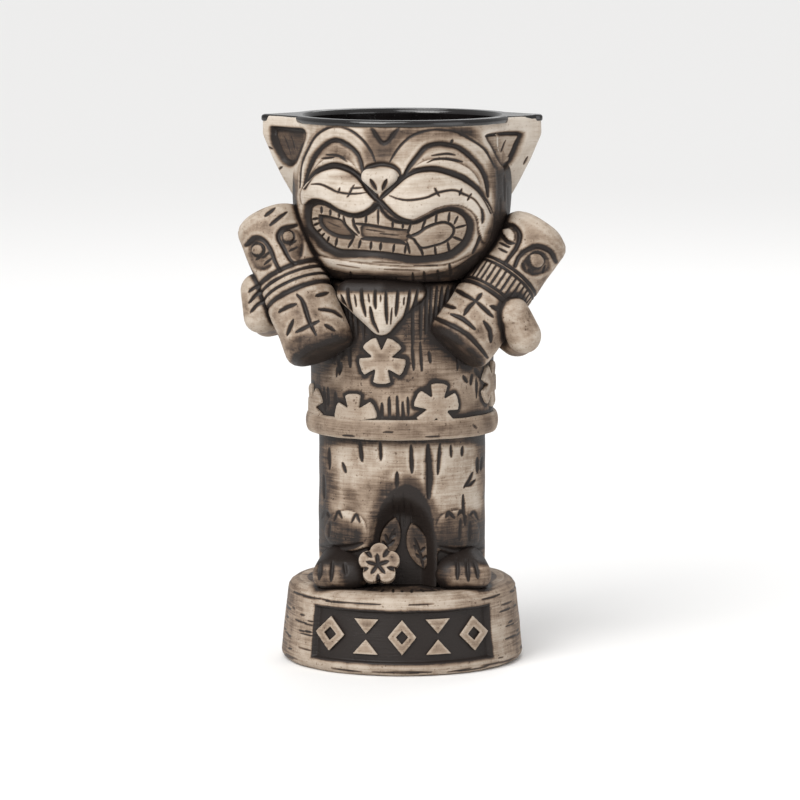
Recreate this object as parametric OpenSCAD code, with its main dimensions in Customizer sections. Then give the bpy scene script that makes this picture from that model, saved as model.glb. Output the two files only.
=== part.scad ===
// Carved ceramic drinking mug in the form of a grinning cat in a flowered shirt,
// standing on a round plinth and holding a small carved beaker in each paw.
// Millimetres. +Z is up, -Y is the front, and the origin is the centre of the flat foot.
// Every luted clay member is its own node; the two glaze coats are thin shells of their own.

/* [Clay and glaze] */
// Thickness of the cast clay wall
wall = 3.2; // [2.8:0.1:4]
// Thickness of the fired glaze coat
glaze_t = 0.4; // [0.3:0.1:0.6]
// How far the rim glaze runs down the outside
glaze_drop = 1.8; // [1:0.2:4]
// How far a pressed-on relief stands out of its ground
relief = 1; // [0.8:0.1:2]

/* [Plinth] */
// Radius of the plinth near its foot
plinth_r = 42.2; // [35:0.2:51]
// How much smaller the radius is at the top edge
plinth_taper = 2.2; // [0:0.2:6]
// Height of the plinth
plinth_h = 28; // [23:1:34]
// Height of the sunk panel on the plinth's front
panel_h = 17; // [12:0.5:18]
// Length of the sunk panel round the front
panel_l = 70; // [50:1:82]

/* [Legs] */
// Width of the trouser block
leg_w = 58; // [50:0.2:64]
// Depth of the trouser block
leg_d = 52; // [43:0.5:56]
// Height of the trouser block
leg_h = 52; // [43:1:63]
// Width of the arched hollow between the legs
arch_w = 25; // [18:0.5:29]
// Height of the arched hollow
arch_h = 33; // [26:0.5:40]
// Depth of the arched hollow at the front
arch_depth = 7; // [4:0.5:9]
// Height of each foot
foot_h = 12; // [9:0.5:15]

/* [Shirt] */
// Width of the shirt
shirt_w = 63.6; // [60:0.2:80]
// Depth of the shirt
shirt_d = 58; // [55:0.5:70]
// Height of the shirt, hem to neck seam
shirt_h = 54; // [45:1:65]
// Height of the rolled hem
hem_h = 7; // [5:0.5:9]
// How far the rolled hem stands out
hem_out = 1.4; // [0.8:0.2:3]
// Radius of each pressed shirt flower
flower_r = 8; // [6:0.5:10]

/* [Head] */
// Width at the neck seam
neck_w = 54; // [46:1:58]
// Depth at the neck seam
neck_d = 48; // [41:1:54]
// Width of the head
head_w = 76; // [64:1:91]
// Depth of the head at the rim
head_d = 74; // [62:1:89]
// Height of the head, neck seam to rim
head_h = 56; // [47:1:67]
// How far the muzzle stands forward of the rim
muzzle_out = 7; // [4:0.5:9]

// Width of the beard under the chin
beard_w = 31; // [22:1:37]
// How far the beard hangs below the neck seam
beard_h = 18; // [14:1:22]

/* [Ears] */
// How far each ear tip stands out from the head's side
ear_out = 10.2; // [8:0.2:13]
// Height of an ear along the side of the head
ear_h = 27; // [20:1:33]
// Thickness of an ear where it joins the head
ear_t = 11; // [8:0.5:14]

/* [Held beakers] */
// Outer radius of a held beaker
beaker_r = 12; // [10:0.2:14.4]
// Length of a held beaker
beaker_l = 54; // [45:1:65]
// Rounding of a beaker's two ends
beaker_round = 4; // [2:0.5:5]
// Lean of both beakers, foot forward, in degrees
beaker_lean = 21.5; // [10:0.5:30]
// Sideways tilt of the left beaker in degrees
left_tilt = 23; // [15:1:40]
// Sideways tilt of the right beaker in degrees
right_tilt = 37; // [20:1:45]

/* [Arms] */
// Radius of an arm
arm_r = 6.5; // [5:0.2:8]
// Radius of a paw
paw_r = 6; // [5:0.2:7.4]
// Length of a paw between its two round ends
paw_l = 9; // [7:0.5:11]

/* [Hidden] */
sides = 48;            // facets round each cast shell
front_crowding = 24;   // degrees by which the facets at the sides are drawn to the front
ball_fn = 24;          // facets round a hulled ball
disc_fn = 32;          // facets round a small disc
round_fn = 96;         // facets round the plinth
over = 2;              // how far a cutting shape runs past what it cuts
leg_z = plinth_h;
hem_z = leg_z + leg_h;
neck_z = hem_z + shirt_h;
rim_z = neck_z + head_h;
clay_top = rim_z - glaze_t;
clay = [0.66, 0.60, 0.53];
wash = [0.30, 0.26, 0.22];
pale = [0.80, 0.75, 0.68];
black = [0.05, 0.05, 0.05];

// ---- Rings and swept shells -------------------------------------------------

// Bearing of point i of a ring, measured from the front: the carved front has the closer points.
function bearing(i) =
    let (b = 360 * (i + 0.5) / sides - 180)
    b - front_crowding * sin(b);

// One ring of a shell: an ellipse of half width rx, with rf forward and rb behind.
function ring(z, rx, rf, rb) =
    [for (i = [0 : sides - 1])
        let (b = bearing(i))
        [rx * sin(b), -(cos(b) > 0 ? rf : rb) * cos(b), z]];

// Two triangles between neighbouring rings i and j, for every side.
function strip(i, j, n) =
    [for (k = [0 : n - 1])
        let (m = (k + 1) % n)
        each [[i * n + k, j * n + m, i * n + m], [i * n + k, j * n + k, j * n + m]]];

// A closed solid from rings stacked upwards, with flat ends.
module stack(rings) {
    n = len(rings[0]);
    last = len(rings) - 1;
    polyhedron(
        points = [for (r = rings) each r],
        faces = concat([[for (k = [0 : n - 1]) k]],
                       [for (i = [0 : last - 1]) each strip(i, i + 1, n)],
                       [[for (k = [n - 1 : -1 : 0]) last * n + k]]),
        convexity = 6);
}

// A tube-like shell: the rings run up the outside and down the inside, and close.
module tube(rings) {
    n = len(rings[0]);
    count = len(rings);
    polyhedron(
        points = [for (r = rings) each r],
        faces = [for (i = [0 : count - 1]) each strip(i, (i + 1) % count, n)],
        convexity = 6);
}

function reversed(list) = [for (i = [len(list) - 1 : -1 : 0]) list[i]];
function mix(a, b, t) = a + (b - a) * t;
function clamp01(t) = max(0, min(1, t));
// Quarter-round rise from 0 to 1.
function quarter(t) = sqrt(max(0, 1 - pow(1 - clamp01(t), 2)));
// Smooth bell, 1 at the middle and 0 a half width away.
function bell(d, half) = abs(d) >= half ? 0 : (1 + cos(180 * d / half)) / 2;

// ---- Forms of the three cast shells ----------------------------------------

head_round = head_h * 0.55;      // height over which the jaw rounds out of the neck
shoulder_round = 16;             // height over which the shoulders round into the neck
muzzle_z = neck_z + head_h * 0.36;

// [rx, rf, rb] of the head at height z.
function head_at(z) =
    let (t = quarter((z - neck_z) / head_round),
         muzzle = muzzle_out * bell(z - muzzle_z, head_h / 2))
    [mix(neck_w, head_w, t) / 2,
     mix(neck_d, head_d, t) / 2 + muzzle * t,
     mix(neck_d, head_d, t) / 2];

// [rx, rf, rb] of the shirt at height z.
function shirt_at(z) =
    let (t = quarter((neck_z - z) / shoulder_round))
    [mix(neck_w, shirt_w, t) / 2, mix(neck_d, shirt_d, t) / 2, mix(neck_d, shirt_d, t) / 2];

function grow(r, by) = [r[0] + by, r[1] + by, r[2] + by];
function ring_of(z, r) = ring(z, r[0], r[1], r[2]);

// Shares of the head's height at which it has a ring.
head_levels = [0, 0.01, 0.03, 0.07, 0.125, 0.2, 0.29, 0.4, 0.53, 0.68, 0.8, 0.9];
function head_zs() = [for (l = head_levels) neck_z + l * head_h, clay_top];
shoulder_levels = [1, 0.75, 0.5, 0.28, 0.12, 0.03, 0];
function shirt_zs() =
    concat([hem_z, hem_z + wall], [for (l = shoulder_levels) neck_z - l * shoulder_round]);

function head_outer() = [for (z = head_zs()) ring_of(z, head_at(z))];
function shirt_outer() = [for (z = shirt_zs()) ring_of(z, shirt_at(z))];

// The inside of each shell keeps the wall both level and upright.
function head_bore(z, inset) = grow(head_at(max(neck_z, z - inset)), -inset);
function leg_bore(inset) = [leg_w / 2 - inset, leg_d / 2 - inset, leg_d / 2 - inset];
// At the hem the shirt's bore closes in to the trousers' bore, so that the shirt sits on them.
function shirt_bore(z, inset) =
    let (t = clamp01((z - hem_z) / wall))
    mix(leg_bore(inset), grow(shirt_at(min(neck_z, z + inset)), -inset), t);

function head_inner(inset) =
    [for (z = head_zs()) if (z < clay_top) ring_of(z, head_bore(z, inset)),
     ring_of(clay_top, head_bore(clay_top, inset))];
function shirt_inner(inset) = [for (z = shirt_zs()) ring_of(z, shirt_bore(z, inset))];

// The trouser block: an ellipse with an arched hollow sunk into its front.
function arch_fade(x, z) =
    let (h = max(0, (z - leg_z) / arch_h - 0.45) / 0.55,
         d = sqrt(pow(2 * x / arch_w, 2) + h * h))
    clamp01(2.6 * (1 - d));
function leg_ring(z, inset) =
    [for (p = ring_of(z, leg_bore(inset)))
        let (sink = p[1] < 0 ? arch_depth * arch_fade(p[0], z) : 0)
        [p[0], p[1] + sink, p[2]]];
leg_levels = [0, 0.45, 0.6, 0.72, 0.82, 0.91, 1];
function leg_zs() = [for (l = leg_levels) leg_z + l * arch_h, hem_z];
function leg_rings(inset) = [for (z = leg_zs()) leg_ring(z, inset)];

// ---- Cast shells ------------------------------------------------------------

foot_round = 3;                  // rounding of the plinth's foot edge
top_round = 4;                   // rounding of the plinth's top edge
plinth_top_r = plinth_r - plinth_taper;
plinth_slope = plinth_taper / (plinth_h - foot_round - top_round);
// Radius of the plinth's side at height z.
function plinth_at(z) = plinth_r - plinth_slope * (z - foot_round);
panel_z = (plinth_h - panel_h) / 2 - 0.5;      // foot of the sunk panel
panel_sunk = 1.6;                // depth of the sunk panel
panel_angle = panel_l / plinth_r * 180 / PI;
drum_r = plinth_top_r - wall - 0.5;            // inside radius of the plinth
drum_top = plinth_h - wall;

module leg_passage() {
    translate([0, 0, drum_top - over / 2])
        linear_extrude(wall + over)
            polygon([for (p = leg_ring(leg_z, wall)) [p[0], p[1]]]);
}

module plinth_side_band(inset, low, high, angle) {
    rotate([0, 0, -90 - angle / 2])
        rotate_extrude(angle = angle, $fn = round_fn)
            polygon([[plinth_at(low) - inset, low], [plinth_at(low) + over, low],
                     [plinth_at(high) + over, high], [plinth_at(high) - inset, high]]);
}

module plinth() {
    color(clay)
    difference() {
        rotate_extrude($fn = round_fn) {
            polygon([[0, 0], [plinth_r - foot_round, 0], [plinth_r, foot_round],
                     [plinth_at(plinth_h - top_round), plinth_h - top_round],
                     [plinth_top_r - top_round, plinth_h], [0, plinth_h]]);
            intersection() {
                translate([plinth_r - foot_round, foot_round]) circle(r = foot_round, $fn = disc_fn);
                square([plinth_r, foot_round]);
            }
            intersection() {
                translate([plinth_top_r - top_round, plinth_h - top_round])
                    circle(r = top_round, $fn = disc_fn);
                translate([0, plinth_h - top_round]) square([plinth_r, top_round]);
            }
        }
        translate([0, 0, wall]) cylinder(r = drum_r, h = drum_top - wall, $fn = round_fn);
        leg_passage();
        plinth_side_band(panel_sunk, panel_z, panel_z + panel_h, panel_angle);
    }
}

// A plain pattern of hollow diamonds and paired triangles fills the sunk panel.
module panel_marks() {
    pitch = panel_l / 5.4;       // five marks and a margin
    tall = panel_h - 5;          // height of the marks
    for (i = [-2 : 2])
        translate([i * pitch, 0])
            if (i % 2 == 0)
                difference() {
                    polygon([[-pitch * 0.4, 0], [0, tall / 2], [pitch * 0.4, 0], [0, -tall / 2]]);
                    polygon([[-pitch * 0.17, 0], [0, tall * 0.2], [pitch * 0.17, 0],
                             [0, -tall * 0.2]]);
                }
            else
                for (s = [-1, 1])
                    scale([1, s])
                        polygon([[-pitch * 0.34, tall / 2], [pitch * 0.34, tall / 2], [0, tall * 0.08]]);
}

module panel_relief() {
    mid = panel_z + panel_h / 2;
    color(pale)
    intersection() {
        translate([0, 0, mid]) rotate([90, 0, 0]) linear_extrude(plinth_r + over) panel_marks();
        rotate([0, 0, 180])
            rotate_extrude(angle = 180, $fn = round_fn)
                polygon([[plinth_at(panel_z) - panel_sunk, panel_z],
                         [plinth_at(panel_z) - panel_sunk + relief, panel_z],
                         [plinth_at(panel_z + panel_h) - panel_sunk + relief, panel_z + panel_h],
                         [plinth_at(panel_z + panel_h) - panel_sunk, panel_z + panel_h]]);
    }
}

// The filled outer forms, which whatever is luted on to them is cut to. The head's runs on
// past the rim, so that nothing has to end in the same plane.
module leg_solid() stack(leg_rings(0));
module shirt_solid() stack(shirt_outer());
module head_solid() stack(concat(head_outer(), [ring_of(rim_z + wall, head_at(clay_top))]));

module leg_shell() {
    color(clay) tube(concat(leg_rings(0), reversed(leg_rings(wall))));
}

module shirt_shell() {
    color(wash) tube(concat(shirt_outer(), reversed(shirt_inner(wall))));
}

module head_shell() {
    color(clay) tube(concat(head_outer(), reversed(head_inner(wall))));
}

// The rolled hem: a half-round bead that laps the foot of the shirt.
module shirt_hem() {
    half = hem_h / 2;
    lap = 0.4;                   // thickness of the bead's two edges
    bead = [for (a = [-90 : 22.5 : 90]) [hem_z + half * (1 + sin(a)), lap + hem_out * cos(a)]];
    color(pale)
    tube(concat([for (b = bead) ring_of(b[0], grow(shirt_at(b[0]), b[1]))],
                [ring_of(hem_z + hem_h, shirt_at(hem_z + hem_h)), ring_of(hem_z, shirt_at(hem_z))]));
}

// ---- Feet, leaves and flowers -----------------------------------------------

foot_out = leg_w / 2 - foot_h * 0.66;     // from the mug's axis to a foot's middle
foot_mid_z = leg_z + foot_h * 0.36;       // height of a foot's thickest part
toe_y = -leg_d * 0.42;
toe_spread = 3.8;                // from a foot's middle to each side of its toes
toe_gap = 2.4;                   // from a foot's middle to each groove between toes
groove = [0.9, 3];               // width and depth of a groove between toes
heel_back = 9;                   // from the toes to the heel
module foot_form(side) {
    hull() {
        for (dx = [-toe_spread, toe_spread])
            translate([side * foot_out + dx, toe_y, foot_mid_z])
                sphere(r = foot_h * 0.5, $fn = ball_fn);
        translate([side * foot_out, toe_y + heel_back, foot_mid_z])
            sphere(r = foot_h * 0.62, $fn = ball_fn);
    }
}

// Everything below the plinth's top face, which the feet and the foot flower are cut to.
module below_top() {
    translate([-leg_w, -leg_w, 0]) cube([2 * leg_w, 2 * leg_w, leg_z]);
}

module foot(side) {
    color(clay)
    difference() {
        foot_form(side);
        leg_solid();
        below_top();
        for (dx = [-toe_gap, toe_gap])
            translate([side * foot_out + dx, toe_y - foot_h * 0.5, leg_z + foot_h * 0.3])
                rotate([12, 0, 0]) cube([groove[0], groove[1], foot_h], center = true);
    }
}
module left_foot() foot(-1);
module right_foot() foot(1);

// Flat flower of five arms that widen outwards.
module flat_flower(r) {
    circle(r = r * 0.42, $fn = disc_fn);
    for (i = [0 : 4])
        rotate(72 * i)
            polygon([[-r * 0.2, 0], [r * 0.2, 0], [r * 0.36, r * 0.96], [0, r], [-r * 0.36, r * 0.96]]);
}

// Each pressed flower: [degrees round from the front, height, spin].
hem_top = hem_z + hem_h;
chest_place = [-13.6, neck_z - 26.5, 36];
left_hem_place = [-33, hem_top + 0.6, 4];
right_hem_place = [24, hem_top + 4.4, -6];
left_side_place = [-76, hem_top + 2, 20];
right_side_place = [76, hem_top + 10, 52];
back_right_place = [128, hem_top + 3, 30];
back_place = [180, hem_top + 12, 12];
back_left_place = [-128, hem_top + 14, 66];

module pressed_flower(place) {
    color(pale)
    difference() {
        intersection() {
            rotate([0, 0, place[0]])
                translate([0, 0, place[1]]) rotate([90, 0, 0])
                    linear_extrude(shirt_w) rotate(place[2]) flat_flower(flower_r);
            tube([for (z = [hem_top, neck_z]) ring_of(z, grow(shirt_at(hem_z), relief)),
                  for (z = [neck_z, hem_top]) ring_of(z, grow(shirt_at(hem_z), -relief))]);
        }
        shirt_solid();
    }
}
module chest_flower() pressed_flower(chest_place);
module left_hem_flower() pressed_flower(left_hem_place);
module right_hem_flower() pressed_flower(right_hem_place);
module left_side_flower() pressed_flower(left_side_place);
module right_side_flower() pressed_flower(right_side_place);
module back_right_flower() pressed_flower(back_right_place);
module back_flower() pressed_flower(back_place);
module back_left_flower() pressed_flower(back_left_place);

flower_place = [-leg_w * 0.135, -leg_d / 2 - 1.2, leg_z + 8.6];
flower_lean = 68;                // degrees by which the foot flower is tipped up
petal = 3.2;                     // radius of one of its petals
petal_t = 4;                     // its thickness
module foot_flower() {
    color(pale)
    difference() {
        translate(flower_place) rotate([flower_lean, 0, 0])
            linear_extrude(petal_t, center = true) {
                circle(r = petal, $fn = disc_fn);
                for (i = [0 : 4])
                    rotate(72 * i) translate([0, petal * 1.25]) circle(r = petal, $fn = disc_fn);
            }
        leg_solid();
        foot_form(-1);
        below_top();
    }
}

leaf_t = 3.2;                    // thickness of a leaf, its root included
leaf_root = 2;                   // how far behind the arch's back face a leaf starts
module leaf(x, z, lean, long) {
    wide = long * 0.62;
    color(clay)
    difference() {
        translate([x, -leg_d / 2 + arch_depth + leaf_root, z]) rotate([90, 0, 0])
            linear_extrude(leaf_t) rotate(lean)
                intersection() {
                    translate([wide, 0]) circle(r = wide * 1.5, $fn = sides);
                    translate([-wide, 0]) circle(r = wide * 1.5, $fn = sides);
                }
        leg_solid();
    }
}
module left_leaf() leaf(-arch_w * 0.16, leg_z + arch_h * 0.5, -14, 11);
module right_leaf() leaf(arch_w * 0.22, leg_z + arch_h * 0.42, 16, 12);

// ---- Head members -----------------------------------------------------------

tip_r = 2.2;                     // rounding of an ear's tip
root_r = 3;                      // rounding of an ear's root
ear_x = head_w / 2;              // the side of the head
ear_root = 6;                    // how far inside the head's side an ear is rooted
// [how far out of the head's side, how far below the rim] of the ear's outer edge
ear_edge = [[ear_out - tip_r, 0], [ear_out - tip_r, 6], [ear_out * 0.68 - tip_r, 14],
            [ear_out * 0.3 - tip_r, ear_h * 0.8], [-tip_r, ear_h]];

// The solid form of an ear: flat on top, a thin outer edge and a thick root in the head's side.
module ear_form(side, more) {
    hull() {
        for (e = ear_edge)
            translate([side * (ear_x + e[0]), 0, clay_top - e[1] - (e[1] > 0 ? 0 : 1)])
                if (e[1] > 0) sphere(r = tip_r + more, $fn = ball_fn);
                else cylinder(r = tip_r + more, h = 1 + more, $fn = ball_fn);
        for (dy = [-1, 1])
            translate([side * (ear_x - ear_root), dy * (ear_t / 2 - root_r), clay_top - ear_h * 0.4])
                cylinder(r = root_r + more, h = ear_h * 0.4 + more, $fn = ball_fn);
    }
}

// The scooped front of an ear: corners as [out of the head's side, below the rim].
ear_scoop = [[1.4, 4.5], [ear_out - 4.4, 4.5], [ear_out * 0.62 - 3, 13], [1, ear_h * 0.68]];
scoop_r = 1;                     // rounding of the scoop's corners
scoop_web = 3;                   // clay left behind the scoop
module ear(side) {
    color(clay)
    difference() {
        ear_form(side, 0);
        head_solid();
        hull()
            for (p = ear_scoop)
                translate([side * (ear_x + p[0]), scoop_web - ear_t, clay_top - p[1]])
                    rotate([-90, 0, 0]) cylinder(r = scoop_r, h = ear_t - scoop_web / 2,
                                                 $fn = ball_fn);
    }
}
module left_ear() ear(-1);
module right_ear() ear(1);

face_x = -head_w * 0.1;          // the face looks a little to the left of centre
nose_z = neck_z + head_h * 0.64;
nostril_r = 2.6;                 // rounding of the nose's two wings
nose_tip_r = 1.6;                // rounding of its lower end
nose_half = 3.6;                 // from its middle to a wing's middle
nose_sunk = 0.4;                 // how far the balls' middles lie inside the head's face
module nose() {
    front = head_at(nose_z)[1] - nose_sunk;
    color(pale)
    difference() {
        hull() {
            for (dx = [-nose_half, nose_half])
                translate([face_x + dx, -front, nose_z + 1.6]) sphere(r = nostril_r, $fn = ball_fn);
            translate([face_x, -front, nose_z - 3]) sphere(r = nose_tip_r, $fn = ball_fn);
        }
        head_solid();
    }
}

beard_x = face_x * 0.9;
tuft_r = 4.5;                    // rounding of the beard's corners
module beard() {
    deep = neck_d / 2;
    color(clay)
    difference() {
        hull() {
            for (dx = [-1, 1])
                translate([beard_x + dx * (beard_w / 2 - tuft_r), -deep - 1, neck_z - 1])
                    sphere(r = tuft_r, $fn = ball_fn);
            translate([beard_x, -deep - tuft_r, neck_z + 2]) sphere(r = tuft_r + 1, $fn = ball_fn);
            translate([beard_x, -shirt_d / 2 + 1, neck_z - beard_h + tuft_r])
                sphere(r = tuft_r, $fn = ball_fn);
        }
        head_solid();
        shirt_solid();
    }
}

// ---- Held beakers, arms and paws --------------------------------------------

left_reach = neck_w / 2 + beaker_r + 1.9;         // from the mug's axis to the left beaker's
right_reach = neck_w / 2 + beaker_r - 1.4;        // from the mug's axis to the right beaker's
left_bearing = 64;                                // degrees round from the front
right_bearing = 61;
left_beaker_z = neck_z - 1.5;                     // height of the left beaker's middle
right_beaker_z = neck_z - 3;

function reach_of(side) = side < 0 ? left_reach : right_reach;
function bearing_of(side) = side < 0 ? left_bearing : right_bearing;
function tilt_of(side) = side < 0 ? left_tilt : right_tilt;
function beaker_place(side) =
    [side * reach_of(side) * sin(bearing_of(side)), -reach_of(side) * cos(bearing_of(side)),
     side < 0 ? left_beaker_z : right_beaker_z];

module at_beaker(side) {
    translate(beaker_place(side))
        rotate([-beaker_lean, side * tilt_of(side), 0])
            children();
}

// The carved band round a beaker's middle: three square grooves.
band_sunk = 0.7;                 // depth of a groove
groove_w = 1;                    // half its width at the surface
groove_pitch = 3.4;              // from one groove to the next
beaker_dish = 2.5;               // depth of the hollow in a beaker's top
beaker_lip = 0.8;                // flat of its lip
function band_steps(r) =
    [for (g = [-1 : 1])
        each [[r, g * groove_pitch - groove_w], [r - band_sunk, g * groove_pitch - groove_w / 2],
              [r - band_sunk, g * groove_pitch + groove_w / 2], [r, g * groove_pitch + groove_w]]];

module beaker_blank() {
    h = beaker_l / 2;
    r = beaker_r;
    e = beaker_round;
    foot = [for (a = [0 : 15 : 90]) [r - e + e * sin(a), -h + e * (1 - cos(a))]];
    lip = [for (a = [0 : 15 : 90]) [r - e + e * cos(a), h - e * (1 - sin(a))]];
    rotate_extrude($fn = 64)
        polygon(concat([[0, -h]], foot, band_steps(r), lip,
                       [[r - e - beaker_lip, h - beaker_dish], [0, h - beaker_dish]]));
}

// A beaker carries two small eyeballs above its band.
eye_angle = 27;                  // degrees from the beaker's front to an eyeball
eye_r = 1.9;
eye_off = 0.15;                  // from a beaker's side out to an eyeball's middle
module beaker(side) {
    color(clay)
    difference() {
        at_beaker(side)
            union() {
                beaker_blank();
                for (a = [-eye_angle, eye_angle])
                    rotate([0, 0, a]) translate([0, -beaker_r - eye_off, beaker_l * 0.3])
                        sphere(r = eye_r, $fn = ball_fn);
            }
        head_solid();
        shirt_solid();
    }
}
module left_beaker() beaker(-1);
module right_beaker() beaker(1);

// A point given in a beaker's own frame, in the mug's frame.
function from_beaker(side, p) =
    let (t = side * tilt_of(side),
         y = p[1] * cos(beaker_lean) + p[2] * sin(beaker_lean),
         z = p[2] * cos(beaker_lean) - p[1] * sin(beaker_lean))
    beaker_place(side) + [p[0] * cos(t) + z * sin(t), y, z * cos(t) - p[0] * sin(t)];

// How a paw grips its beaker, in the beaker's frame: [degrees forward of its outer side,
// share of the beaker's length below its middle, how far pressed in, long axis of the paw]
left_grip = [-14, 0, 3.6, [-0.3, 0.35, -0.89]];
right_grip = [30, 0.15, 4, [0.9, 0.25, -0.35]];
function grip_of(side) = side < 0 ? left_grip : right_grip;
// The end of a paw nearest the arm has along = 1, and the other end has -1.
function paw_end(side, along) =
    let (g = grip_of(side), out = beaker_r + paw_r - g[2])
    from_beaker(side, [side * out * cos(g[0]), -out * sin(g[0]), -g[1] * beaker_l] +
                      g[3] * along * paw_l / 2);

module paw_form(side) {
    hull()
        for (along = [-1, 1])
            translate(paw_end(side, along)) sphere(r = paw_r, $fn = ball_fn);
}

module paw(side) {
    color(pale)
    difference() {
        paw_form(side);
        at_beaker(side) beaker_blank();
        head_solid();
        shirt_solid();
    }
}
module left_paw() paw(-1);
module right_paw() paw(1);

module arm(side) {
    shoulder = [side * (neck_w / 2 + 1), neck_d * 0.15, neck_z - 12];
    elbow = paw_end(side, 1) + [-side * 2, arm_r + 5, -2];   // behind the paw
    color(clay)
    difference() {
        hull() {
            translate(shoulder) sphere(r = arm_r + 0.5, $fn = ball_fn);
            translate(elbow) sphere(r = arm_r, $fn = ball_fn);
            translate(paw_end(side, 1)) sphere(r = arm_r - 1, $fn = ball_fn);
        }
        head_solid();
        shirt_solid();
        at_beaker(side) beaker_blank();
        paw_form(side);
    }
}
module left_arm() arm(-1);
module right_arm() arm(1);

// ---- Glaze ------------------------------------------------------------------

// Rings of the whole inside, set in from the clay's outer faces, from the drum's floor upwards.
function inside_rings(skin) =
    concat([ring(wall + skin, drum_r - skin, drum_r - skin, drum_r - skin),
            ring(drum_top - skin, drum_r - skin, drum_r - skin, drum_r - skin),
            passage_ring(drum_top - skin, wall + skin)],
           [for (z = leg_zs()) if (z < hem_z) leg_ring(z, wall + skin)],
           [for (z = shirt_zs()) ring_of(z, shirt_bore(z, wall + skin))],
           [for (z = head_zs()) if (z > neck_z && z < clay_top) ring_of(z, head_bore(z, wall + skin))],
           [ring_of(clay_top, head_bore(clay_top, wall + skin))]);
// The passage through the plinth's top plate has the outline of the trouser block's foot.
function passage_ring(z, inset) = [for (p = leg_ring(leg_z, inset)) [p[0], p[1], z]];

module inner_glaze() {
    outer = inside_rings(0);
    inner = inside_rings(glaze_t);
    n = sides;
    count = len(outer) + len(inner);
    color(black)
    polyhedron(
        points = [for (r = concat(outer, reversed(inner))) each r],
        faces = concat([[for (k = [0 : n - 1]) k]],
                       [for (i = [0 : count - 2]) each strip(i, i + 1, n)],
                       [[for (k = [n - 1 : -1 : 0]) (count - 1) * n + k]]),
        convexity = 8);
}

// Outline of the head and both ears at the rim, grown by more.
module rim_outline(more) {
    polygon([for (p = ring_of(0, grow(head_at(clay_top), more))) [p[0], p[1]]]);
    for (side = [-1, 1])
        hull() {
            translate([side * (ear_x + ear_out - tip_r), 0]) circle(r = tip_r + more, $fn = ball_fn);
            for (dy = [-1, 1])
                translate([side * (ear_x - ear_root), dy * (ear_t / 2 - root_r)])
                    circle(r = root_r + more, $fn = ball_fn);
        }
}

// The glaze over the rim and the ears' tops, and a little way down their outside.
module rim_glaze() {
    color(black)
    difference() {
        translate([0, 0, clay_top - glaze_drop])
            linear_extrude(glaze_drop + glaze_t) rim_outline(glaze_t);
        translate([0, 0, clay_top - glaze_drop - over])
            linear_extrude(glaze_drop + over) rim_outline(0);
        translate([0, 0, clay_top - glaze_drop - over])
            linear_extrude(glaze_drop + glaze_t + 2 * over)
                polygon([for (p = ring_of(0, head_bore(clay_top, wall + glaze_t))) [p[0], p[1]]]);
    }
}

plinth();
panel_relief();
leg_shell();
left_foot();
right_foot();
foot_flower();
left_leaf();
right_leaf();
shirt_shell();
shirt_hem();
chest_flower();
left_hem_flower();
right_hem_flower();
left_side_flower();
right_side_flower();
back_right_flower();
back_flower();
back_left_flower();
head_shell();
left_ear();
right_ear();
nose();
beard();
left_arm();
right_arm();
left_paw();
right_paw();
left_beaker();
right_beaker();
inner_glaze();
rim_glaze();
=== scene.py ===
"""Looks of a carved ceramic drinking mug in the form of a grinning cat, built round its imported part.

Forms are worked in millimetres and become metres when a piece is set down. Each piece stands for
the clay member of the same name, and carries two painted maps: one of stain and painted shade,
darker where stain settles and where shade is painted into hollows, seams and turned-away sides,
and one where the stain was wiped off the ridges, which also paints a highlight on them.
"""

import logging
import math
from dataclasses import dataclass, field
from enum import Enum
from typing import Sequence

import bmesh
import bpy
import numpy as np
from mathutils import Matrix, Vector, noise
from mathutils.bvhtree import BVHTree


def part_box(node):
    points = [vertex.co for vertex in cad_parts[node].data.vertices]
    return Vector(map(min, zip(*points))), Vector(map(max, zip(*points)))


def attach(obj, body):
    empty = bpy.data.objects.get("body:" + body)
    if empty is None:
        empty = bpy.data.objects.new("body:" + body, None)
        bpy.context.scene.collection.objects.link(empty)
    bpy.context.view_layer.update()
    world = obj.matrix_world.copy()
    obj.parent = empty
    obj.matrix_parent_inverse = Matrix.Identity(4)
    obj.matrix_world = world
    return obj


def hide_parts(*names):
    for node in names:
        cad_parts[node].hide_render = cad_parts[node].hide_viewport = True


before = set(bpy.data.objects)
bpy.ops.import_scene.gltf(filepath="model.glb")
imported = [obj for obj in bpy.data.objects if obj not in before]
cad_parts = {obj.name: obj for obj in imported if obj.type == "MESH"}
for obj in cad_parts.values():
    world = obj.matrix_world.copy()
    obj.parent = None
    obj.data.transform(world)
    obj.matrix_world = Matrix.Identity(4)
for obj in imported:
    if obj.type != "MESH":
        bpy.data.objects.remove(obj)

log = logging.getLogger("mug")

Path = Sequence[tuple[float, float]]
Neighbour = tuple[BVHTree, np.ndarray, np.ndarray]
MM = 0.001
WALL = 3.2
GLAZE = 0.4
ON_SKIN = 0.01  # A point set in by less than this lies on the outer skin.


# ---- Measures ---------------------------------------------------------------


def span(node: str) -> tuple[np.ndarray, np.ndarray]:
    """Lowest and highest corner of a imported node, in millimetres."""
    low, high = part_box(node)
    return np.array(low) / MM, np.array(high) / MM


def quarter(t: np.ndarray) -> np.ndarray:
    """Quarter-round rise from 0 to 1."""
    return np.sqrt(1 - (1 - np.clip(t, 0, 1)) ** 2)


def bell(d: np.ndarray, half: float) -> np.ndarray:
    """Smooth bell, 1 at the middle and 0 a half width away."""
    return np.where(np.abs(d) < half, (1 + np.cos(np.pi * d / half)) / 2, 0.0)


def mix(a: np.ndarray, b: np.ndarray, t: np.ndarray) -> np.ndarray:
    """The value a share t of the way from a to b."""
    return a + (b - a) * t


def ease(t: np.ndarray) -> np.ndarray:
    """Smooth step from 0 to 1."""
    t = np.clip(t, 0, 1)
    return t * t * (3 - 2 * t)


# ---- Lines drawn on the clay -------------------------------------------------


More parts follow.
